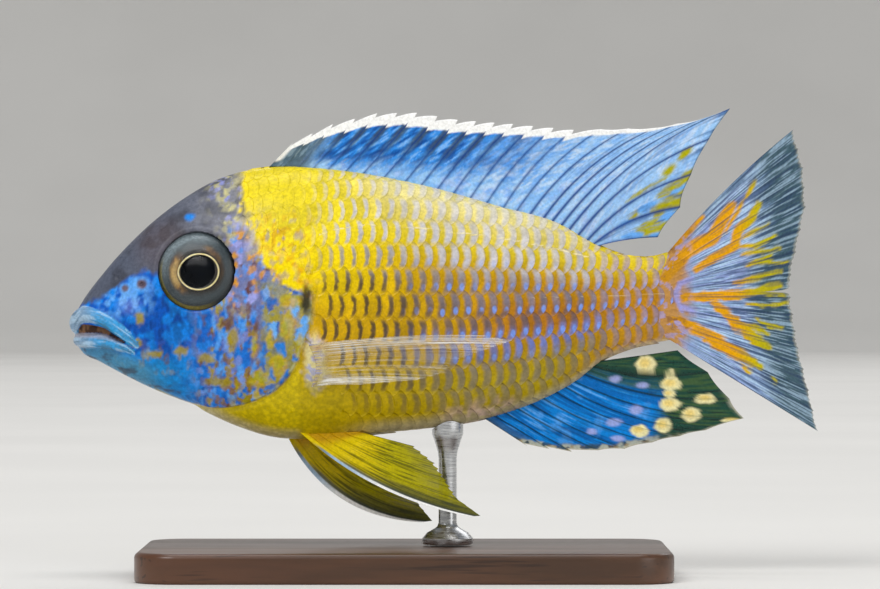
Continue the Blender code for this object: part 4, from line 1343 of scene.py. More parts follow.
# Half the thickness of each fin's membrane, how far its rays rise and how much they thin out
THICKNESS = {"median": (0.11, 0.20, 0.75), "caudal": (0.10, 0.16, 0.8), "pelvic": (0.11, 0.14, 0.7),
             "pectoral": (0.055, 0.10, 0.7)}
MEDIAN_SWELL = 0.25


def build_up(number, first, length):
    """0 up to the ray whose number is first, and 1 from length rays further on."""
    return np.clip((number - first) / length, 0, 1)


def fin_grid(rays, root, bow, edge, per_ray, rows, sink):
    """Places in u and v of a fin's grid, its ray numbers, shares, column lengths and ray spacing."""
    last = rays[-1][0]
    numbers = np.linspace(1, last, (last - 1) * per_ray + 1)
    given = [np.interp(numbers, [r[0] for r in rays], [r[k] for r in rays]) for k in (1, 2, 3)]
    roots = root(given[0])
    tips = np.stack(given[1:], axis=1)
    along = tips - roots
    length = np.hypot(along[:, 0], along[:, 1])
    along = along * (1 - edge(numbers) / length)[:, None]
    shares = np.linspace(-sink, 1, rows + 1)
    across = np.stack([-along[:, 1], along[:, 0]], axis=1)
    sway = 4 * bow(numbers)[:, None] * shares[None, :] * (1 - shares[None, :])
    places = roots[:, None] + along[:, None] * shares[None, :, None] + across[:, None] * sway[..., None]
    n = numbers[:, None] + 0 * shares[None, :]
    t = shares[None, :] + 0 * n
    spread = np.hypot(*np.gradient(places, axis=0).transpose(2, 0, 1)) / np.gradient(n, axis=0)
    return places[..., 0], places[..., 1], n, t, length[:, None] + 0 * t, spread


def ray_profile(n, t, spacing, spines, width=0.16, branch=0.45):
    """Height of the rays from 0 to 1: one line at each spine, and forked ones on soft rays."""
    nearest = np.round(n)
    off = (n - nearest) * spacing
    single = bell(off, width)
    spread = np.maximum(t - branch, 0) / (1 - branch)
    fork = 0.17 * spread * spacing
    forked = np.maximum(bell(off - fork, width * 0.8), bell(off + fork, width * 0.8))
    again = np.maximum(t - 0.75, 0) / 0.25 * 0.09 * spacing
    tips = 0
    for first in (-1, 1):
        for second in (-1, 1):
            tips = np.maximum(tips, bell(off - first * fork * 1.15 - second * again, width * 0.6))
    soft = np.where(t < branch, single, np.where(t < 0.75, forked, np.maximum(forked * 0.4, tips)))
    return np.where(nearest <= spines, single, soft)


def fin_mesh(name, u, v, y, half):
    """A thin closed sheet with both faces split alike."""
    columns, rows = u.shape
    left = np.stack([u, y - half, v], axis=-1).reshape(-1, 3)
    right = np.stack([u, y + half, v], axis=-1).reshape(-1, 3)
    face, edge = sheet_faces(columns, rows)
    after = np.roll(edge, -1)
    back = columns * rows
    rim = np.stack([edge, after, after + back, edge + back], axis=1)
    faces = np.concatenate([face[:, ::-1], face + back, rim[:, ::-1]])
    obj = grid_mesh(name, np.concatenate([left, right]), faces, np.arange(len(faces)) >= 2 * len(face))
    face_outwards(obj.data)
    return obj


def make_fin(name, slot, grid, y, ray, half, paint):
    """A fin's sheet with its colours and material. Its paint is a function of the grid's measures."""
    u, v, n, t, length, spread = grid
    obj = fin_mesh(name + "_form", u, v, y, half)
    tint, clear = paint(*(x.ravel() for x in (u, v, n, t, length, ray, spread)))
    set_colour(obj, "paint", np.concatenate([tint, tint]))
    set_number(obj, "clear", np.concatenate([clear, clear]))
    piece(obj, fin_material(name.replace("fin", "membrane")), slot, name)


def half_thickness(kind, ray, t):
    """Half the thickness of a fin whose rays thin out towards its margin."""
    membrane, raised, thinning = THICKNESS[kind]
    return membrane + raised * ray * (1 - thinning * t)


def median_half(ray, t):
    """Half the thickness of the fins on the back and under the tail, which swell at the root."""
    return half_thickness("median", ray, t) + MEDIAN_SWELL * np.maximum(1 - 6 * np.maximum(t, 0), 0) ** 2


def to_ray(n):
    """How far a place is from the nearest ray, as a share of the gap between two."""
    return np.minimum(n - np.floor(n), np.ceil(n) - n)


def fin_material(name):
    n = Nodes(name)
    n.bump(n.noise(3000, 2), 0.12, 0.00004)
    n.set(Base_Color=n.shade(n.attribute("paint", "Color"), n.drift(2300, 3, 0.9, 1.1)),
          Roughness=n.drift(900, 2, 0.27, 0.45), Alpha=n.attribute("clear"), Specular_IOR_Level=0.12,
          Coat_Weight=0.03, Coat_Roughness=0.2)
    return n.material


DORSAL_SPINES = 16
LAPPET_DROP = 1.15
WHITE_BAND = [(1, 2.0), (4, 2.5), (8, 2.25), (12, 2.0), (15, 1.85), (17, 1.6), (19, 1.1), (20.4, 0.45),
              (25, 0.05)]
DORSAL_OLIVE = [
    (1.5, [(101.9, 22.5), (103.5, 24.2)]), (1.1, [(99.4, 20.0), (101.0, 21.3)]),
    (0.6, [(93.0, 15.4), (96.0, 17.4), (99.6, 19.4)]), (2.0, [(98.7, 16.5), (101.5, 18.1), (104.1, 20.2)]),
    (2.9, [(98.0, 13.5), (100.8, 14.9), (103.4, 16.9)]), (2.4, [(95.2, 10.4), (98.0, 11.3), (100.4, 12.6)]),
    (0.7, [(93.6, 12.6), (96.6, 14.6)])]
DORSAL_BLUE = [
    (1.4, [(98.9, 12.4), (101.2, 13.6)]), (1.4, [(95.4, 13.8), (97.6, 15.2)]),
    (1.3, [(92.6, 9.5), (95.4, 10.0)]), (1.2, [(91.8, 11.0), (93.8, 12.2)]),
    (0.9, [(100.6, 16.8), (103.8, 18.6)]), (0.9, [(97.0, 9.7), (98.8, 9.9)])]


def dorsal_fin():
    def edge(n):
        behind = n - np.floor(n)
        lappet = np.where((n < DORSAL_SPINES) & (behind > 0.01), LAPPET_DROP * (1 - behind) ** 1.9, 0)
        ragged = np.sin(pi * behind) * np.where(n > 20.5, 0.5, 0.25 * (n > DORSAL_SPINES))
        return lappet + ragged

    def bow(n):
        return np.where(n > 24, 0.03, 0.07 * build_up(n, 8, 10))

    def root(u):
        return np.stack([u, curve(BACK, u) + 0.1], 1)

    grid = fin_grid(DORSAL_RAYS, root, bow, edge, per_ray=14, rows=56, sink=0.06)
    _, _, n, t, _, spread = grid
    y = -1.6 * np.maximum(t, 0) ** 2 * build_up(n, 12, 8)
    ray = ray_profile(n, t, spread, spines=DORSAL_SPINES, width=0.2)
    half = median_half(ray, t) * np.where(t > 0.985, 0.4, 1.0)
    make_fin("dorsal_fin", "median_fin", grid, y, ray, half, dorsal_paint)


def dorsal_paint(u, v, n, t, length, ray, spread):
    """Blue with a white margin, dark rays and olive blotches at the rear."""
    points = np.stack([u, 0 * u, v], 1)
    margin = (1 - t) * length
    behind = n - np.floor(n)
    near = to_ray(n)
    wrinkle = weave(n * 3.2 + margin * 0.8, margin * 1.1 - n * 1.5, 71)
    fine = weave(n * 9.0, t * 5.0, 73)
    reach = t * length
    streak = weave(n * 5.5 + reach * 0.25, reach * 0.42, 74)
    paint = Paint(PERIWINKLE)
    paint.lay("A2CAF4", step(0.45, 0.65, clouds(points, 1.6, 72)) * step(0.7, 0.3, t) * 0.7)
    paint.lay(LILAC, step(0.55, 0.70, clouds(points, 1.3, 76)) * step(0.5, 0.1, t) * 0.5)
    paint.lay(WHITE, step(0.50, 0.72, wrinkle) * 0.35 * step(10, 14, n))
    paint.lay(AZURE, step(0.50, 0.34, wrinkle) * step(22, 14, n) * 0.45)
    low = 0.22 * step(5, 13, n)
    slant = weave((0.84 * u + 0.54 * v) / 2.4, (0.84 * v - 0.54 * u) / 0.42, 77)
    royal = step(2.6, 4.2, n) * step(17.5, 9.0, n) * step(low - 0.05, low + 0.22, t + 0.45 * (slant - 0.5))
    paint.lay(ROYAL, royal * 0.95)
    paint.lay("0A4494", royal * step(0.48, 0.34, slant) * 0.75)
    paint.lay("3C98F0", royal * step(0.48, 0.58, slant) * 0.8)
    paint.lay("90C4FA", royal * step(0.60, 0.70, slant) * 0.65)
    paint.lay("083478", royal * step(0.42, 0.30, streak) * 0.35)
    wedge = step(0.34, 0.10, near) * step(0.05, 0.7, t) * step(15.0, 10.0, n)
    paint.lay(SMOKE, wedge * 0.9)
    paint.lay("8EC2F2", step(0.35, 0.05, t) * step(5, 9, n) * 0.35)
    front = step(4.6, 2.6, n + 1.2 * (streak - 0.5) + 0.8 * t)
    paint.lay("4C626E", front * 0.95)
    paint.lay("8FA6B4", step(0.52, 0.66, streak) * front * 0.6)
    soft = step(15, 18, n)
    across, along = u + 0.9 * (wrinkle - 0.5), v + 0.9 * (fine - 0.5)
    for tint, blotches in ((LIME, DORSAL_OLIVE), (SKY, DORSAL_BLUE)):
        for width, path in blotches:
            paint.lay(tint, stroke(across, along, path, width, 0.5))
    paint.lay(RAY_BLUE, step(0.40, 0.28, fine) * soft * step(0.25, 0.5, t) * 0.35)
    stripes = 0.5 + 0.5 * np.cos(2 * pi * n * 6 + 3.0 * (wrinkle - 0.5))
    paint.lay("5C92E0", stripes * step(0.55, 0.35, streak) * soft * step(0.1, 0.35, t) * 0.5)
    dark = bell(near * spread, 0.24 + 0.06 * soft)
    rear = step(4.5, 0.5, margin) * step(18.5, 20.5, n)
    paint.lay("1E4E8E", rear * step(0.46, 0.34, fine) * 0.6)
    paint.lay(RAY_BLUE, dark * step(2, 6, n) * (0.78 + 0.17 * soft))
    band = curve(WHITE_BAND, n)
    white = step(band + 0.3, band - 0.15, margin - 0.15 * behind * (n < DORSAL_SPINES) + 0.4 * (fine - 0.5))
    white = np.maximum(white, step(0.55, 0.2, n - 1) * step(0.1, 0.3, t))
    paint.lay(WHITE, white * step(20.8, 19.4, n))
    paint.lay(SMOKE, step(0.3, 0.05, margin) * step(20.5, 21, n) * 0.6)
    return paint.tint, 1.0 - 0.12 * step(20, 24, n) * (1 - ray)


EGG_SPOTS = [((96.3, -11.7), (1.5, 1.3)), ((100.5, -15.0), (1.6, 1.0)), ((100.3, -18.4), (1.55, 1.0)),
             ((106.3, -17.5), (1.6, 0.75)), ((103.8, -20.1), (1.35, 1.1)), ((99.2, -21.9), (1.3, 1.1)),
             ((95.2, -22.8), (1.4, 0.85)), ((110.8, -21.0), (1.7, 0.35)), ((100.4, -13.4), (0.9, 0.7)),
             ((100.2, -16.7), (0.85, 0.6))]
LILAC_SPOTS = [((95.8, -15.2), (1.0, 0.5)), ((91.3, -14.2), (0.9, 0.6)), ((94.7, -19.3), (1.0, 0.8)),
               ((91.0, -21.4), (1.2, 0.65)), ((87.3, -22.9), (0.9, 0.5)), ((91.7, -24.1), (1.2, 0.5))]


def anal_fin():
    """The fin under the tail."""
    def edge(n):
        behind = n - np.floor(n)
        return np.where(n < 4, 0.8 * (1 - behind) * (behind > 0.01), 0.35 * np.sin(pi * behind))

    def bow(n):
        return np.where(n > 11, 0.0, -0.06 * build_up(n, 2, 6))

    def root(u):
        return np.stack([u, curve(BELLY, u) - 0.1], 1)

    grid = fin_grid(ANAL_RAYS, root, bow, edge, per_ray=18, rows=56, sink=0.06)
    _, _, n, t, _, spread = grid
    y = 1.2 * np.maximum(t, 0) ** 2 * build_up(n, 2, 6)
    ray = ray_profile(n, t, spread, spines=3, width=0.2)
    make_fin("anal_fin", "median_fin", grid, y, ray, median_half(ray, t), anal_paint)


def anal_paint(u, v, n, t, length, ray, spread):
    """Blue in front and dark green behind, with egg spots."""
    points = np.stack([u, 0 * u, v], 1)
    margin = (1 - t) * length
    near = to_ray(n)
    streaks = weave(n * 5.0, t * 4.0, 81)
    fine = weave(n * 12.0, t * 5.0, 83)
    paint = Paint("0084DC")
    paint.lay("0060B0", step(0.52, 0.40, streaks) * 0.8)
    paint.lay(SKY, step(0.58, 0.72, streaks) * step(0.75, 0.2, t) * 0.6)
    paint.lay(SKY, step(0.62, 0.76, clouds(points, 1.6, 82)) * 0.3)
    rear = step(97.6, 101.5, u + 3.0 * (streaks - 0.5) - 0.25 * (v + 18))
    rear = np.maximum(rear, step(9.4, 11.0, n + 1.2 * (streaks - 0.5)))
    paint.lay(TEAL, rear)
    paint.lay("4E6A34", rear * step(0.5, 0.66, fine) * 0.6)
    paint.lay(INK, step(0.42, 0.30, fine) * step(0.1, 0.35, t) * (0.30 + 0.3 * rear))
    paint.lay(INK, bell(near * spread, 0.18) * 0.8)
    paint.lay(SMOKE, step(2.2, 1.2, n) * 0.6)
    rough, coarse = clouds(points, 0.8, 85), clouds(points, 1.1, 86)
    front = step(2.7, 1.3, margin + 1.4 * (rough - 0.5)) * step(8.0, 5.5, n)
    paint.lay("3C4438", front * 0.8)
    paint.lay("C0C4B4", front * step(0.46, 0.56, coarse) * 0.8)
    paint.lay("9A7A3C", front * step(0.56, 0.68, rough) * 0.6)
    for at, radii in LILAC_SPOTS:
        paint.lay(LILAC, spot(u + 0.8 * (streaks - 0.5), v, at, radii, 0.4) * 0.8)
    for at, radii in EGG_SPOTS:
        wide = (radii[0] + 0.12, radii[1] + 0.12)
        paint.lay(EGG, spot(u + 0.9 * (rough - 0.5), v + 0.7 * (coarse - 0.5), at, wide, 0.2))
        middle = (at[0] - 0.2, at[1] + 0.2)
        yolk = spot(u, v, middle, (radii[0] * 0.6, radii[1] * 0.6), 0.6)
        paint.lay(EGG_YOLK, yolk * 0.55)
    paint.lay(TEAL, bell(near, 0.05) * 0.35)
    pale = step(0.6, 0.2, margin + 0.4 * (fine - 0.5)) * step(10.4, 9.6, n)
    return paint.lay(BELLY_WHITE, pale * 0.85), 1.0 - 0.1 * rear


CAUDAL_GOLD = [
    (2.3, [(99.5, 2.6), (103.3, 7.3), (107.5, 9.4), (108.9, 12.2), (110.5, 14.6)]),
    (1.7, [(104.8, 4.2), (108.2, 6.4), (111.0, 8.0), (111.8, 10.8), (113.8, 12.6), (115.0, 15.0)]),
    (0.9, [(111.0, 7.7), (114.5, 8.0), (117.5, 9.6)]), (0.8, [(113.0, 16.0), (114.3, 18.6)]),
    (1.7, [(101.0, -0.7), (107.5, -0.3), (113.2, 0.1), (118.6, 1.6)]),
    (0.9, [(110.8, 1.8), (114.5, 2.6), (118.8, 3.8)]), (0.8, [(113.0, 4.6), (117.0, 6.4)]),
    (2.0, [(107.5, -1.6), (110.3, -3.8), (113.2, -6.6), (116.6, -8.7)]),
    (2.2, [(101.2, -4.2), (106.2, -6.6), (110.4, -9.4), (115.2, -11.9)]),
    (0.8, [(113.0, -1.8), (117.0, -2.0), (120.0, -1.4)]), (0.8, [(114.5, -4.2), (118.6, -5.8)]),
    (0.7, [(117.0, -14.0), (117.8, -14.8)]), (0.8, [(112.0, -11.8), (113.6, -13.0)]),
    (1.0, [(98.5, 6.6), (102.0, 9.0), (105.5, 12.6)]), (0.7, [(109.5, 10.4), (112.4, 15.4)]),
    (0.8, [(112.6, 9.6), (116.6, 11.6)]), (0.8, [(112.4, 6.6), (118.6, 7.6)]),
    (0.7, [(114.0, 5.2), (119.6, 5.2)]), (0.7, [(112.4, 0.4), (119.6, -0.4)]),
    (0.8, [(112.0, -4.9), (116.6, -6.6)]), (0.7, [(108.4, -9.0), (112.6, -10.2)])]
CAUDAL_C = [(104.0, 2.6), (101.9, 1.7), (101.2, 0.1), (101.8, -1.9), (103.9, -2.8)]
CAUDAL_SPLIT = 8.72


def caudal_fin():
    def edge(n):
        behind = n - np.floor(n)
        ragged = 0.22 * np.abs(np.sin(4 * pi * behind)) + 0.25 * np.sin(pi * behind)
        split = 4.0 * bell(n - CAUDAL_SPLIT, 0.045)
        return ragged + split

    def bow(n):
        return 0.025 * (1 - build_up(n, 1, 4))

    def place_root(v):
        return np.stack([CAUDAL_ROOT_U + 0 * v, v], 1)

    grid = fin_grid(CAUDAL_RAYS, place_root, bow, edge, per_ray=18, rows=80, sink=0.08)
    u, v, n, t, _, spread = grid
    ray = ray_profile(n, t, spread, spines=0, width=0.17, branch=0.3)
    root = flank(np.minimum(u, BODY_END - 0.1), np.clip(v[:, 6:7], -7.6, 7.0)) * 0.97
    fade = np.maximum(1 - 6.5 * np.maximum(t, 0), 0) ** 1.6
    half = half_thickness("caudal", ray, t) * (1 - fade) + root * fade
    half = np.where(u < BODY_END, np.minimum(half, flank(u, v) * 0.9), half)
    make_fin("caudal_fin", "tail_fin", grid, 0 * t, ray, half, caudal_paint)


def caudal_paint(u, v, n, t, length, ray, spread):
    """Gold strokes on grey blue, dark at the margin."""
    points = np.stack([u, 0 * u, v], 1)
    margin = (1 - t) * length
    near = to_ray(n)
    streaks = weave(n * 6.0, t * 4.5, 91)
    fine = weave(n * 13.0, t * 6.0, 93)
    wob = clouds(points, 1.2, 92) - 0.5
    paint = Paint(TAIL_BLUE)
    paint.lay("929CD4", step(0.42, 0.60, streaks) * 0.6)
    outer = step(0.56, 0.82, t + 0.25 * (streaks - 0.5))
    outer = np.maximum(outer, step(2.6, 1.2, n) * 0.5)
    paint.lay(TAIL_GREY, outer * 0.95)
    paint.lay("BCDAF4", step(0.52, 0.64, fine) * step(0.08, 0.3, t) * (0.85 - 0.30 * outer))
    gold = 0
    for width, path in CAUDAL_GOLD:
        gold = np.maximum(gold, stroke(u + wob * 0.9, v + wob * 0.9 + 0.8 * (fine - 0.5), path, width, 0.5))
    tint = blend("E8A400", "C8BC00", step(110, 116, u))
    paint.lay(tint, gold)
    root = step(104.6, 101.4, u + 3.0 * wob)
    first, second = mosaic(points, (0.9, 0.9, 0.9), 240)
    paint.lay("C48A14", root * 0.9)
    paint.patches(first, [(LAVENDER, 0.0, 0.22), ("8E5E38", 0.22, 0.36)], root * (0.4 + 0.5 * second))
    paint.lay(LAVENDER, stroke(u + 0.6 * wob, v, CAUDAL_C, 1.0, 0.6) * 0.8)
    paint.lay("2C4468", step(0.48, 0.34, fine) * step(0.10, 0.35, t) * (0.70 - 0.3 * gold))
    paint.lay("24405C", bell(near * spread, 0.14) * step(0.05, 0.3, t) * 0.6)
    bars = 0.5 + 0.5 * np.cos(2 * pi * t * length / 0.55)
    paint.shade(1 - 0.16 * bars * outer)
    pale = step(0.45, 0.15, margin)
    return paint.lay(BELLY_WHITE, pale * 0.5), 1.0 - 0.15 * outer * (1 - 0.6 * ray)


def pelvic_fin(side_name):
    side = SIDES[side_name]

    def edge(n):
        behind = n - np.floor(n)
        return np.where(n > 2, 0.7 * np.abs(np.sin(3 * pi * behind)) * build_up(n, 2, 1.5), 0.0)

    def bow(n):
        return PELVIC_BOW[side_name] * (1 - build_up(n, 1, 5))

    def root(u):
        return np.stack([u, belly_at(u, PELVIC_Y) + 0.1], 1)

    grid = fin_grid(PELVIC_RAYS[side_name], root, bow, edge, per_ray=22, rows=84, sink=0.04)
    u, v, n, t, _, spread = grid
    hang = np.maximum(curve(BELLY, u) - v, 0.0)
    y = side * (PELVIC_Y + PELVIC_SPLAY * hang * np.clip(t / 0.25, 0, 1))
    ray = ray_profile(n, t, spread, spines=1, width=0.16, branch=0.3)
    spine = 0.2 * bell(n - 1.15, 0.3) * (1 - 0.6 * t)
    half = half_thickness("pelvic", ray, t) + spine + 0.3 * np.maximum(1 - 6 * np.abs(t), 0)
    make_fin("pelvic_fin_" + side_name, "pelvic_fin", grid, y, ray, half, pelvic_paint)


def pelvic_paint(u, v, n, t, length, ray, spread):
    """Yellow and olive with a pale leading edge."""
    near = to_ray(n)
    streaks = weave(n * 6.0, t * 4.0, 101)
    fine = weave(n * 14.0, t * 5.0, 102)
    paint = Paint("E4CA02")
    paint.lay(LIME, step(0.2, 0.6, t + 0.3 * (streaks - 0.5)) * 0.85)
    paint.lay(MOSS, step(0.55, 0.95, t) * 0.45)
    paint.lay("4A4C06", step(0.46, 0.32, fine) * step(0.06, 0.35, t) * 0.75)
    paint.lay("3A3C08", bell(near * spread, 0.14) * step(0.05, 0.25, t) * 0.6)
    paint.lay(SMOKE, step(2.0, 1.6, n) * step(0.15, 0.3, t) * 0.8)
    paint.lay("30382E", step(2.9, 2.2, n + 0.6 * (streaks - 0.5)) * step(0.3, 0.6, t) * 0.7)
    edge = step(1.5, 1.3, n + 0.12 * (streaks - 0.5)) * step(0.04, 0.14, t)
    lead = blend("A8C4E0", WHITE, step(0.25, 0.5, t))
    lead = blend(lead, SMOKE, step(0.20, 0.08, t) * 0.8)
    paint.lay(lead, edge)
    paint.lay(AMBER, step(0.14, 0.02, t) * step(1.4, 2.2, n) * 0.8)
    return paint.tint, 0.96 - 0.2 * step(0.6, 1.0, t) * step(2.2, 3, n) * (1 - ray)


def pectoral_fin(side_name):
    side = SIDES[side_name]

    def edge(n):
        behind = n - np.floor(n)
        return 0.5 * np.abs(np.sin(2 * pi * behind)) + 0.2 * np.sin(pi * behind)

    def root(v):
        return np.stack([PECTORAL_ROOT_U + 1.1 * (1 - ((v + 11.8) / 3.6) ** 2), v], 1)

    def bow(n):
        return 0.02 + 0 * n

    grid = fin_grid(PECTORAL_RAYS, root, bow, edge, per_ray=14, rows=90, sink=0.02)
    u, v, n, t, length, spread = grid
    t = np.maximum(t, 0)
    thick = 0.35 * np.maximum(1 - 8 * t, 0) ** 2
    y = side * (flank(u, v) + 0.25 + thick + PECTORAL_LIFT * t ** 1.5)
    ray = ray_profile(n, t, spread, spines=0, width=0.13, branch=0.4)
    half = half_thickness("pectoral", ray, t) + thick
    grid = (u, v, n, t, length, spread)
    make_fin("pectoral_fin_" + side_name, "pectoral_fin", grid, y, ray, half, pectoral_paint)


def pectoral_paint(u, v, n, t, length, ray, spread):
    """Clear, with whitish rays along both edges."""
    streaks = weave(n * 5.0, t * 4.0, 111)
    fine = weave(n * 11.0, t * 3.0, 112)
    paint = Paint("D8D2B0")
    paint.lay(WHITE, step(0.45, 0.62, fine))
    top = step(4.6, 2.2, n)
    bottom = step(10.0, 11.4, n)
    bundle = np.maximum(top, bottom)
    paint.lay(WHITE, bundle * 0.5)
    paint.lay("D2B860", step(0.12, 0.02, t) * 0.9)
    paint.lay(LILAC, step(0.08, 0.0, t) * step(0.45, 0.65, streaks) * 0.8)
    clear = 0.02 + 0.12 * ray + 0.07 * step(0.5, 0.7, fine)
    clear = clear + bundle * (0.10 + 0.50 * step(0.42, 0.66, fine)) * (1 - 0.4 * t)
    clear = np.maximum(clear, step(0.06 + 0.06 * streaks, 0.0, t) * 0.5)
    return paint.tint, np.clip(clear, 0, 0.95)


# Eyes

IRIS_STEPS = 14
IRIS_BOWL = [(3.0 + 3.6 * k / IRIS_STEPS, 0.90 - 1.25 * (k / IRIS_STEPS) ** 2)
             for k in range(1, IRIS_STEPS + 1)]
IRIS_BACK = [(6.62, -0.9), (6.0, -2.2), (4.5, -3.3), (2.0, -3.9), (0.02, -4.0)]
IRIS_PROFILE = [(0.02, 0.55), (2.2, 0.62), (3.0, 0.80), *IRIS_BOWL, *IRIS_BACK]
PUPIL_DOME = {"radius": 3.12, "height": 1.12, "rim": 0.6}
PUPIL_BACK = [(2.9, 0.4), (0.02, 0.4)]
CORNEA_DOME = {"radius": 6.38, "height": 1.82, "rim": -0.35, "count": 26}
RING_RADIUS, RING_OUT = 3.20, 0.90
RING_HALF_WIDE, RING_HALF_DEEP = 0.15, 0.11


def on_eye(name, side, points, faces):
    """An object from points of (forward, up, outward) on an eye."""
    obj = plain_mesh(name, world(eye_places(side, points)), faces)
    obj.data.shade_smooth()
    return obj


def turned(name, profile, side, segments=96, squash=(1.0, 1.0), shift=(0.0, 0.0)):
    """A disc turned round the eye's axis from (radius, outward) points, from its centre out."""
    points = [(x * squash[0] + shift[0], y * squash[1] + shift[1], out)
              for radius, out in profile for x, y in circle(radius, segments)]
    return on_eye(name, side, points, ring_faces(len(profile), segments)), np.array(points)


def dome(radius, height, rim, count=18, inner=0.02):
    """Profile of a shallow dome from its middle to its rim."""
    turns = np.linspace(0, pi / 2, count)
    return [(radius * max(sin(turn), inner), rim + (height - rim) * cos(turn)) for turn in turns]


def eye(side_name):
    """Iris, pupil, gold ring and clear cornea."""
    side = SIDES[side_name]
    iris, places = turned(f"eye_{side_name}_iris", IRIS_PROFILE, side)
    iris_paint(iris, places)
    pupil_squash = (PUPIL_ALONG / PUPIL_TURNED, PUPIL_ACROSS / PUPIL_TURNED)
    pupil, _ = turned(f"eye_{side_name}_pupil", dome(**PUPIL_DOME) + PUPIL_BACK, side, 64, pupil_squash,
                      PUPIL_SHIFT)
    turns = np.linspace(0, 2 * pi, 13)[:-1]
    loop = [(RING_RADIUS + RING_HALF_WIDE * cos(a), RING_OUT + RING_HALF_DEEP * sin(a)) for a in turns]
    gold = ring_piece(f"eye_{side_name}_ring", loop, side, pupil_squash)
    cornea, _ = turned(f"eye_{side_name}_cornea", dome(**CORNEA_DOME), side)
    piece(iris, iris_material(side_name), "eye_lens", "eye_" + side_name)
    piece(pupil, two_tone("pupil_" + side_name, 900, 2, "04060A", "0A0E14", Roughness=0.15,
                          Specular_IOR_Level=0.08), "eye_lens")
    piece(gold, two_tone("eye_ring_" + side_name, 1800, 3, "E9D58A", "FFF3C4", Roughness=0.3, Metallic=0.25,
                         Specular_IOR_Level=0.6), "eye_lens")
    piece(cornea, cornea_material(side_name), "eye_lens")


def ring_piece(name, loop, side, squash, segments=96):
    """A closed ring of a given section round the eye's axis, a little pointed in front."""
    points = []
    for k in range(segments):
        angle = 2 * pi * k / segments
        forward = 1 + 0.05 * max(-cos(angle), 0) ** 6
        for radius, out in loop:
            points.append((radius * cos(angle) * squash[0] * forward + PUPIL_SHIFT[0],
                           radius * sin(angle) * squash[1] + PUPIL_SHIFT[1], out))
    return on_eye(name, side, points, ring_faces(segments, len(loop), True))


def iris_paint(obj, places):
    """Grey skin round the eye with a painted highlight on its upper front, brown in front of and behind the
    pupil, and painted shade at the lower rear edge.
    """
    forward, up = places[:, 0], places[:, 1]
    radius = np.hypot(forward, up)
    angle = np.arctan2(up, -forward)
    points = np.stack([forward, up, 0 * up], 1)
    paint = Paint("3C474C")
    # Lighter grey on the upper front of the orbit: painted highlight.
    paint.lay("7E8C92", step(0.1, 0.95, np.cos(angle - radians(55))) * step(4.0, 5.6, radius))
    arcs = clouds(np.stack([radius * 2.4, angle * 0.9, 0 * up], 1), 0.8, 123)
    paint.shade(0.72 + 0.55 * arcs)
    brown = step(0.35, 0.95, np.abs(np.cos(angle - radians(-12)))) * step(4.9, 3.6, radius)
    paint.lay("8A5A1E", brown * 0.9)
    paint.lay("C8963C", brown * step(0.5, 0.65, clouds(points, 0.6, 121)) * 0.7)
    # Dark band at the lower rear edge of the orbit: painted shade.
    dark = step(5.3, 6.1, radius) * step(0.5, -0.5, np.cos(angle - radians(60)))
    paint.lay("1C2224", dark * 0.85)
    rim = step(5.9, 6.15, radius) * step(6.5, 6.3, radius) * step(0.2, 0.8, np.cos(angle + radians(50)))
    paint.lay(OLIVE, rim * 0.7)
    wedge = spot(forward, up, (-3.0, -0.5), (1.25, 2.1), 0.35)
    paint.lay("CDB070", wedge * (0.35 + 0.65 * arcs))
    near = np.hypot((forward - PUPIL_SHIFT[0]) / PUPIL_ALONG, (up - PUPIL_SHIFT[1]) / PUPIL_ACROSS)
    paint.lay("2A2018", step(1.55, 1.2, near + 0.3 * wedge) * 0.75)
    paint.lay("14120E", step(1.24, 1.12, near) * 0.9)
    set_colour(obj, "paint", paint.tint)


def two_tone(name, scale, detail, first, second, **shine):
    """A material whose colour drifts from one tone to another."""
    n = Nodes(name)
    n.set(Base_Color=n.mix(n.drift(scale, detail, 0.0, 1.0), first, second), **shine)
    return n.material


def iris_material(side_name):
    n = Nodes("iris_" + side_name)
    n.bump(n.noise(2200, 4), 0.3, 0.0001)
    n.set(Base_Color=n.shade(n.attribute("paint", "Color"), n.drift(2600, 4, 0.75, 1.2)), Roughness=0.4,
          Specular_IOR_Level=0.4)
    return n.material


def cornea_material(side_name):
    """Clear and glossy: see-through apart from what it mirrors."""
    n = Nodes("cornea_" + side_name)
    n.tree.nodes.remove(n.shader)
    clear = n.add("ShaderNodeBsdfTransparent", {})
    gloss = n.add("ShaderNodeBsdfGlossy", {"Roughness": 0.06, "Color": n.grey(n.drift(400, 2, 0.9, 1.0))})
    mirror = n.add("ShaderNodeFresnel", {"IOR": 1.16})
    mix = n.add("ShaderNodeMixShader", {0: mirror.outputs[0], 1: clear.outputs[0], 2: gloss.outputs[0]})
    n.give(n.tree.nodes["Material Output"].inputs["Surface"], mix.outputs[0])
    return n.material


# Stand

BASE_LENGTH, BASE_WIDTH, BASE_HEIGHT = 88.0, 50.0, 5.0
BASE_CORNER = 7.0
BASE_EDGE = 1.0
ROD_U = 63.3
ROD_GAP = 0.12
ROD_SEGMENTS = 64
ROD_PROFILE = [(0.0, 0.3), (4.05, 0.3), (4.2, 0.5), (4.2, 1.35), (4.05, 1.5), (3.4, 2.25), (2.2, 2.9),
               (1.7, 3.3), (1.5, 3.9), (1.5, 9.0), (1.5, 14.6), (1.62, 15.6), (1.9, 16.6), (2.25, 17.7),
               (2.6, 18.7), (2.6, 19.6), (2.6, 25.0)]


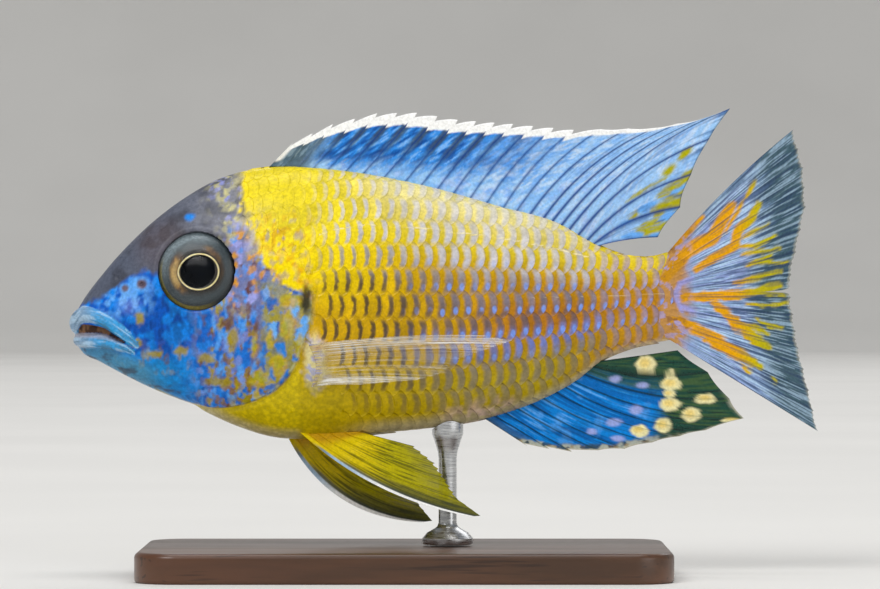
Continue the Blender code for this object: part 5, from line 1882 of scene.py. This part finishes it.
def wood_material():
    n = Nodes("walnut")
    grain = n.noise(70, 6, (0.10, 1.0, 1.0), 0.62)
    broad = n.noise(26, 2, (0.22, 1.0, 1.0))
    tone = n.mix(n.range(broad, 0.35, 0.65, 0, 1), "4A2C1B", "63402A")
    tone = n.mix(n.range(grain, 0.42, 0.66, 0.0, 0.75), tone, "33200F")
    pores = n.range(n.noise(1100, 2, (0.05, 1, 1)), 0.60, 0.70, 0.0, 0.6)
    n.bump(pores, -0.15, 0.0001)
    n.set(Base_Color=n.mix(pores, tone, "1E0F08"), Roughness=n.range(grain, 0.3, 0.7, 0.30, 0.44),
          Coat_Weight=0.25, Coat_Roughness=0.2, Specular_IOR_Level=0.4)
    return n.material


def metal_material():
    n = Nodes("brushed_steel")
    brushed = n.noise(500, 3, (1, 1, 12))
    n.set(Base_Color=n.mix(n.range(brushed, 0.3, 0.7, 0, 1), "A2A4A6", "D2D3D4"),
          Roughness=n.range(brushed, 0.3, 0.7, 0.22, 0.38), Metallic=1.0)
    return n.material


def base_outline(inset, steps=24):
    """The base's outline from above, with round corners."""
    points = []
    radius = BASE_CORNER - inset
    for x, y, start in ((1, 1, 0), (-1, 1, 90), (-1, -1, 180), (1, -1, 270)):
        for k in range(steps + 1):
            angle = radians(start + 90 * k / steps)
            points.append((x * (BASE_LENGTH / 2 - BASE_CORNER) + radius * cos(angle),
                           y * (BASE_WIDTH / 2 - BASE_CORNER) + radius * sin(angle)))
    return points


def stand_base():
    """A flat wooden base with a rounded top edge, drawn in a little at its foot."""
    levels = [(0.35, 0.0), (0.05, 0.3), (0.0, 0.7), (0.0, BASE_HEIGHT - BASE_EDGE)]
    for k in range(1, 9):
        turn = pi / 2 * k / 8
        levels.append((BASE_EDGE * (1 - cos(turn)), BASE_HEIGHT - BASE_EDGE + BASE_EDGE * sin(turn)))
    obj = tube("stand_base_form", [[(x, y, z) for x, y in base_outline(inset)] for inset, z in levels])
    obj.data.transform(Matrix.Scale(MM, 4))
    obj.data.shade_smooth()
    obj.data.set_sharp_from_angle(angle=radians(50))
    piece(obj, wood_material(), "stand_wood", "stand_base")


def stand_rod():
    """A turned rod whose cup takes the shape of the belly."""
    points = []
    for radius, height in ROD_PROFILE:
        for x, y in circle(max(radius, 0.02), ROD_SEGMENTS):
            under_belly = float(belly_at(ROD_U + x, y)) - ROD_GAP
            points.append((ROD_U + x, y, min(BASE_HEIGHT + height - AXIS_HEIGHT, under_belly)))
    top = len(points) - ROD_SEGMENTS
    faces = ring_faces(len(ROD_PROFILE), ROD_SEGMENTS)[:-1]
    faces += [(top + k, top + (k + 1) % ROD_SEGMENTS, len(points)) for k in range(ROD_SEGMENTS)]
    points.append((ROD_U, 0.0, float(belly_at(ROD_U, 0.0)) - ROD_GAP))
    obj = plain_mesh("stand_rod_form", world(points), faces, 1e-7)
    obj.data.shade_smooth()
    obj.data.set_sharp_from_angle(angle=radians(40))
    piece(obj, metal_material(), "stand_metal", "stand_rod")


# Stage, light and camera

FRAME_WIDTH = 880 / 6.0
CAMERA_DISTANCE = 800.0
CAMERA_X = 5.83
CAMERA_Z = 46.9
SENSOR = 36.0
LIGHT_AIM = (0.0, 0.0, 0.045)


def stage():
    """A pale round floor that curves up all round, well outside every camera."""
    reach, radius, rise, segments = 3200.0, 900.0, 1500.0, 96
    profile = [(reach * k / 4, 0.0) for k in range(1, 5)]
    for k in range(1, 17):
        turn = pi / 2 * k / 16
        profile.append((reach + radius * sin(turn), radius * (1 - cos(turn))))
    profile.append((reach + radius, rise))
    points = [(0.0, 0.0, 0.0)]
    for r, z in profile:
        points += [(x, y, z) for x, y in circle(r, segments)]
    faces = [(0, 1 + k, 1 + (k + 1) % segments) for k in range(segments)]
    for i in range(len(profile) - 1):
        for k in range(segments):
            a, b = 1 + i * segments + k, 1 + i * segments + (k + 1) % segments
            faces.append((a, a + segments, b + segments, b))
    obj = plain_mesh("floor", points, faces)
    obj.data.transform(Matrix.Scale(MM, 4))
    obj.data.shade_smooth()
    floor = two_tone("pale_floor", 6, 2, "E2E0DC", "E6E4E0", Roughness=0.85, Specular_IOR_Level=0.1)
    obj.data.materials.append(floor)


def area_light(name, place, size, power):
    """A soft light that points at the fish."""
    light = bpy.data.lights.new(name, "AREA")
    light.shape = "RECTANGLE"
    light.size, light.size_y = size
    light.energy = power
    obj = link(name, light)
    obj.location = Vector(place)
    obj.rotation_mode = "QUATERNION"
    obj.rotation_quaternion = (Vector(LIGHT_AIM) - Vector(place)).to_track_quat("-Z", "Y")


def lights():
    """A key, a top, a fill and a back light, and a pale world."""
    area_light("key", (-1.3, -2.3, 2.3), (1.7, 1.4), 50.0)
    area_light("top", (0.0, -0.1, 2.6), (1.7, 1.2), 24.0)
    area_light("fill", (2.2, -2.2, 0.9), (2.0, 2.0), 22.0)
    area_light("back", (0.7, 2.4, 2.0), (2.4, 1.2), 22.0)
    studio = bpy.data.worlds.new("studio")
    studio.use_nodes = True
    background = studio.node_tree.nodes["Background"]
    background.inputs["Color"].default_value = (0.85, 0.88, 0.92, 1.0)
    background.inputs["Strength"].default_value = 0.32
    bpy.context.scene.world = studio
    bpy.context.scene.view_settings.view_transform = "Standard"


def camera():
    """The photograph's camera, level and far off."""
    data = bpy.data.cameras.new("camera")
    data.sensor_width = SENSOR
    data.lens = SENSOR * CAMERA_DISTANCE / FRAME_WIDTH
    data.clip_start, data.clip_end = 0.01, 10.0
    obj = link("camera", data)
    obj.location = Vector((CAMERA_X, -CAMERA_DISTANCE, CAMERA_Z)) * MM
    obj.rotation_euler = (pi / 2, 0, 0)
    bpy.context.scene.camera = obj


def build():
    """The whole scene, in the order of its random draws."""
    draw = np.random.default_rng(SEED)
    girth = Girth()
    camera()
    stage()
    lights()
    make_skin()
    scale_look = scale_material()
    places = keep_scaled(scale_places(girth, draw), girth)
    for side_name, side in SIDES.items():
        scales("scales_" + side_name, places[places[:, 3] == side], girth, draw, scale_look)
    dorsal_fin()
    anal_fin()
    caudal_fin()
    for side_name in SIDES:
        pelvic_fin(side_name)
        pectoral_fin(side_name)
        eye(side_name)
    stand_base()
    stand_rod()


build()
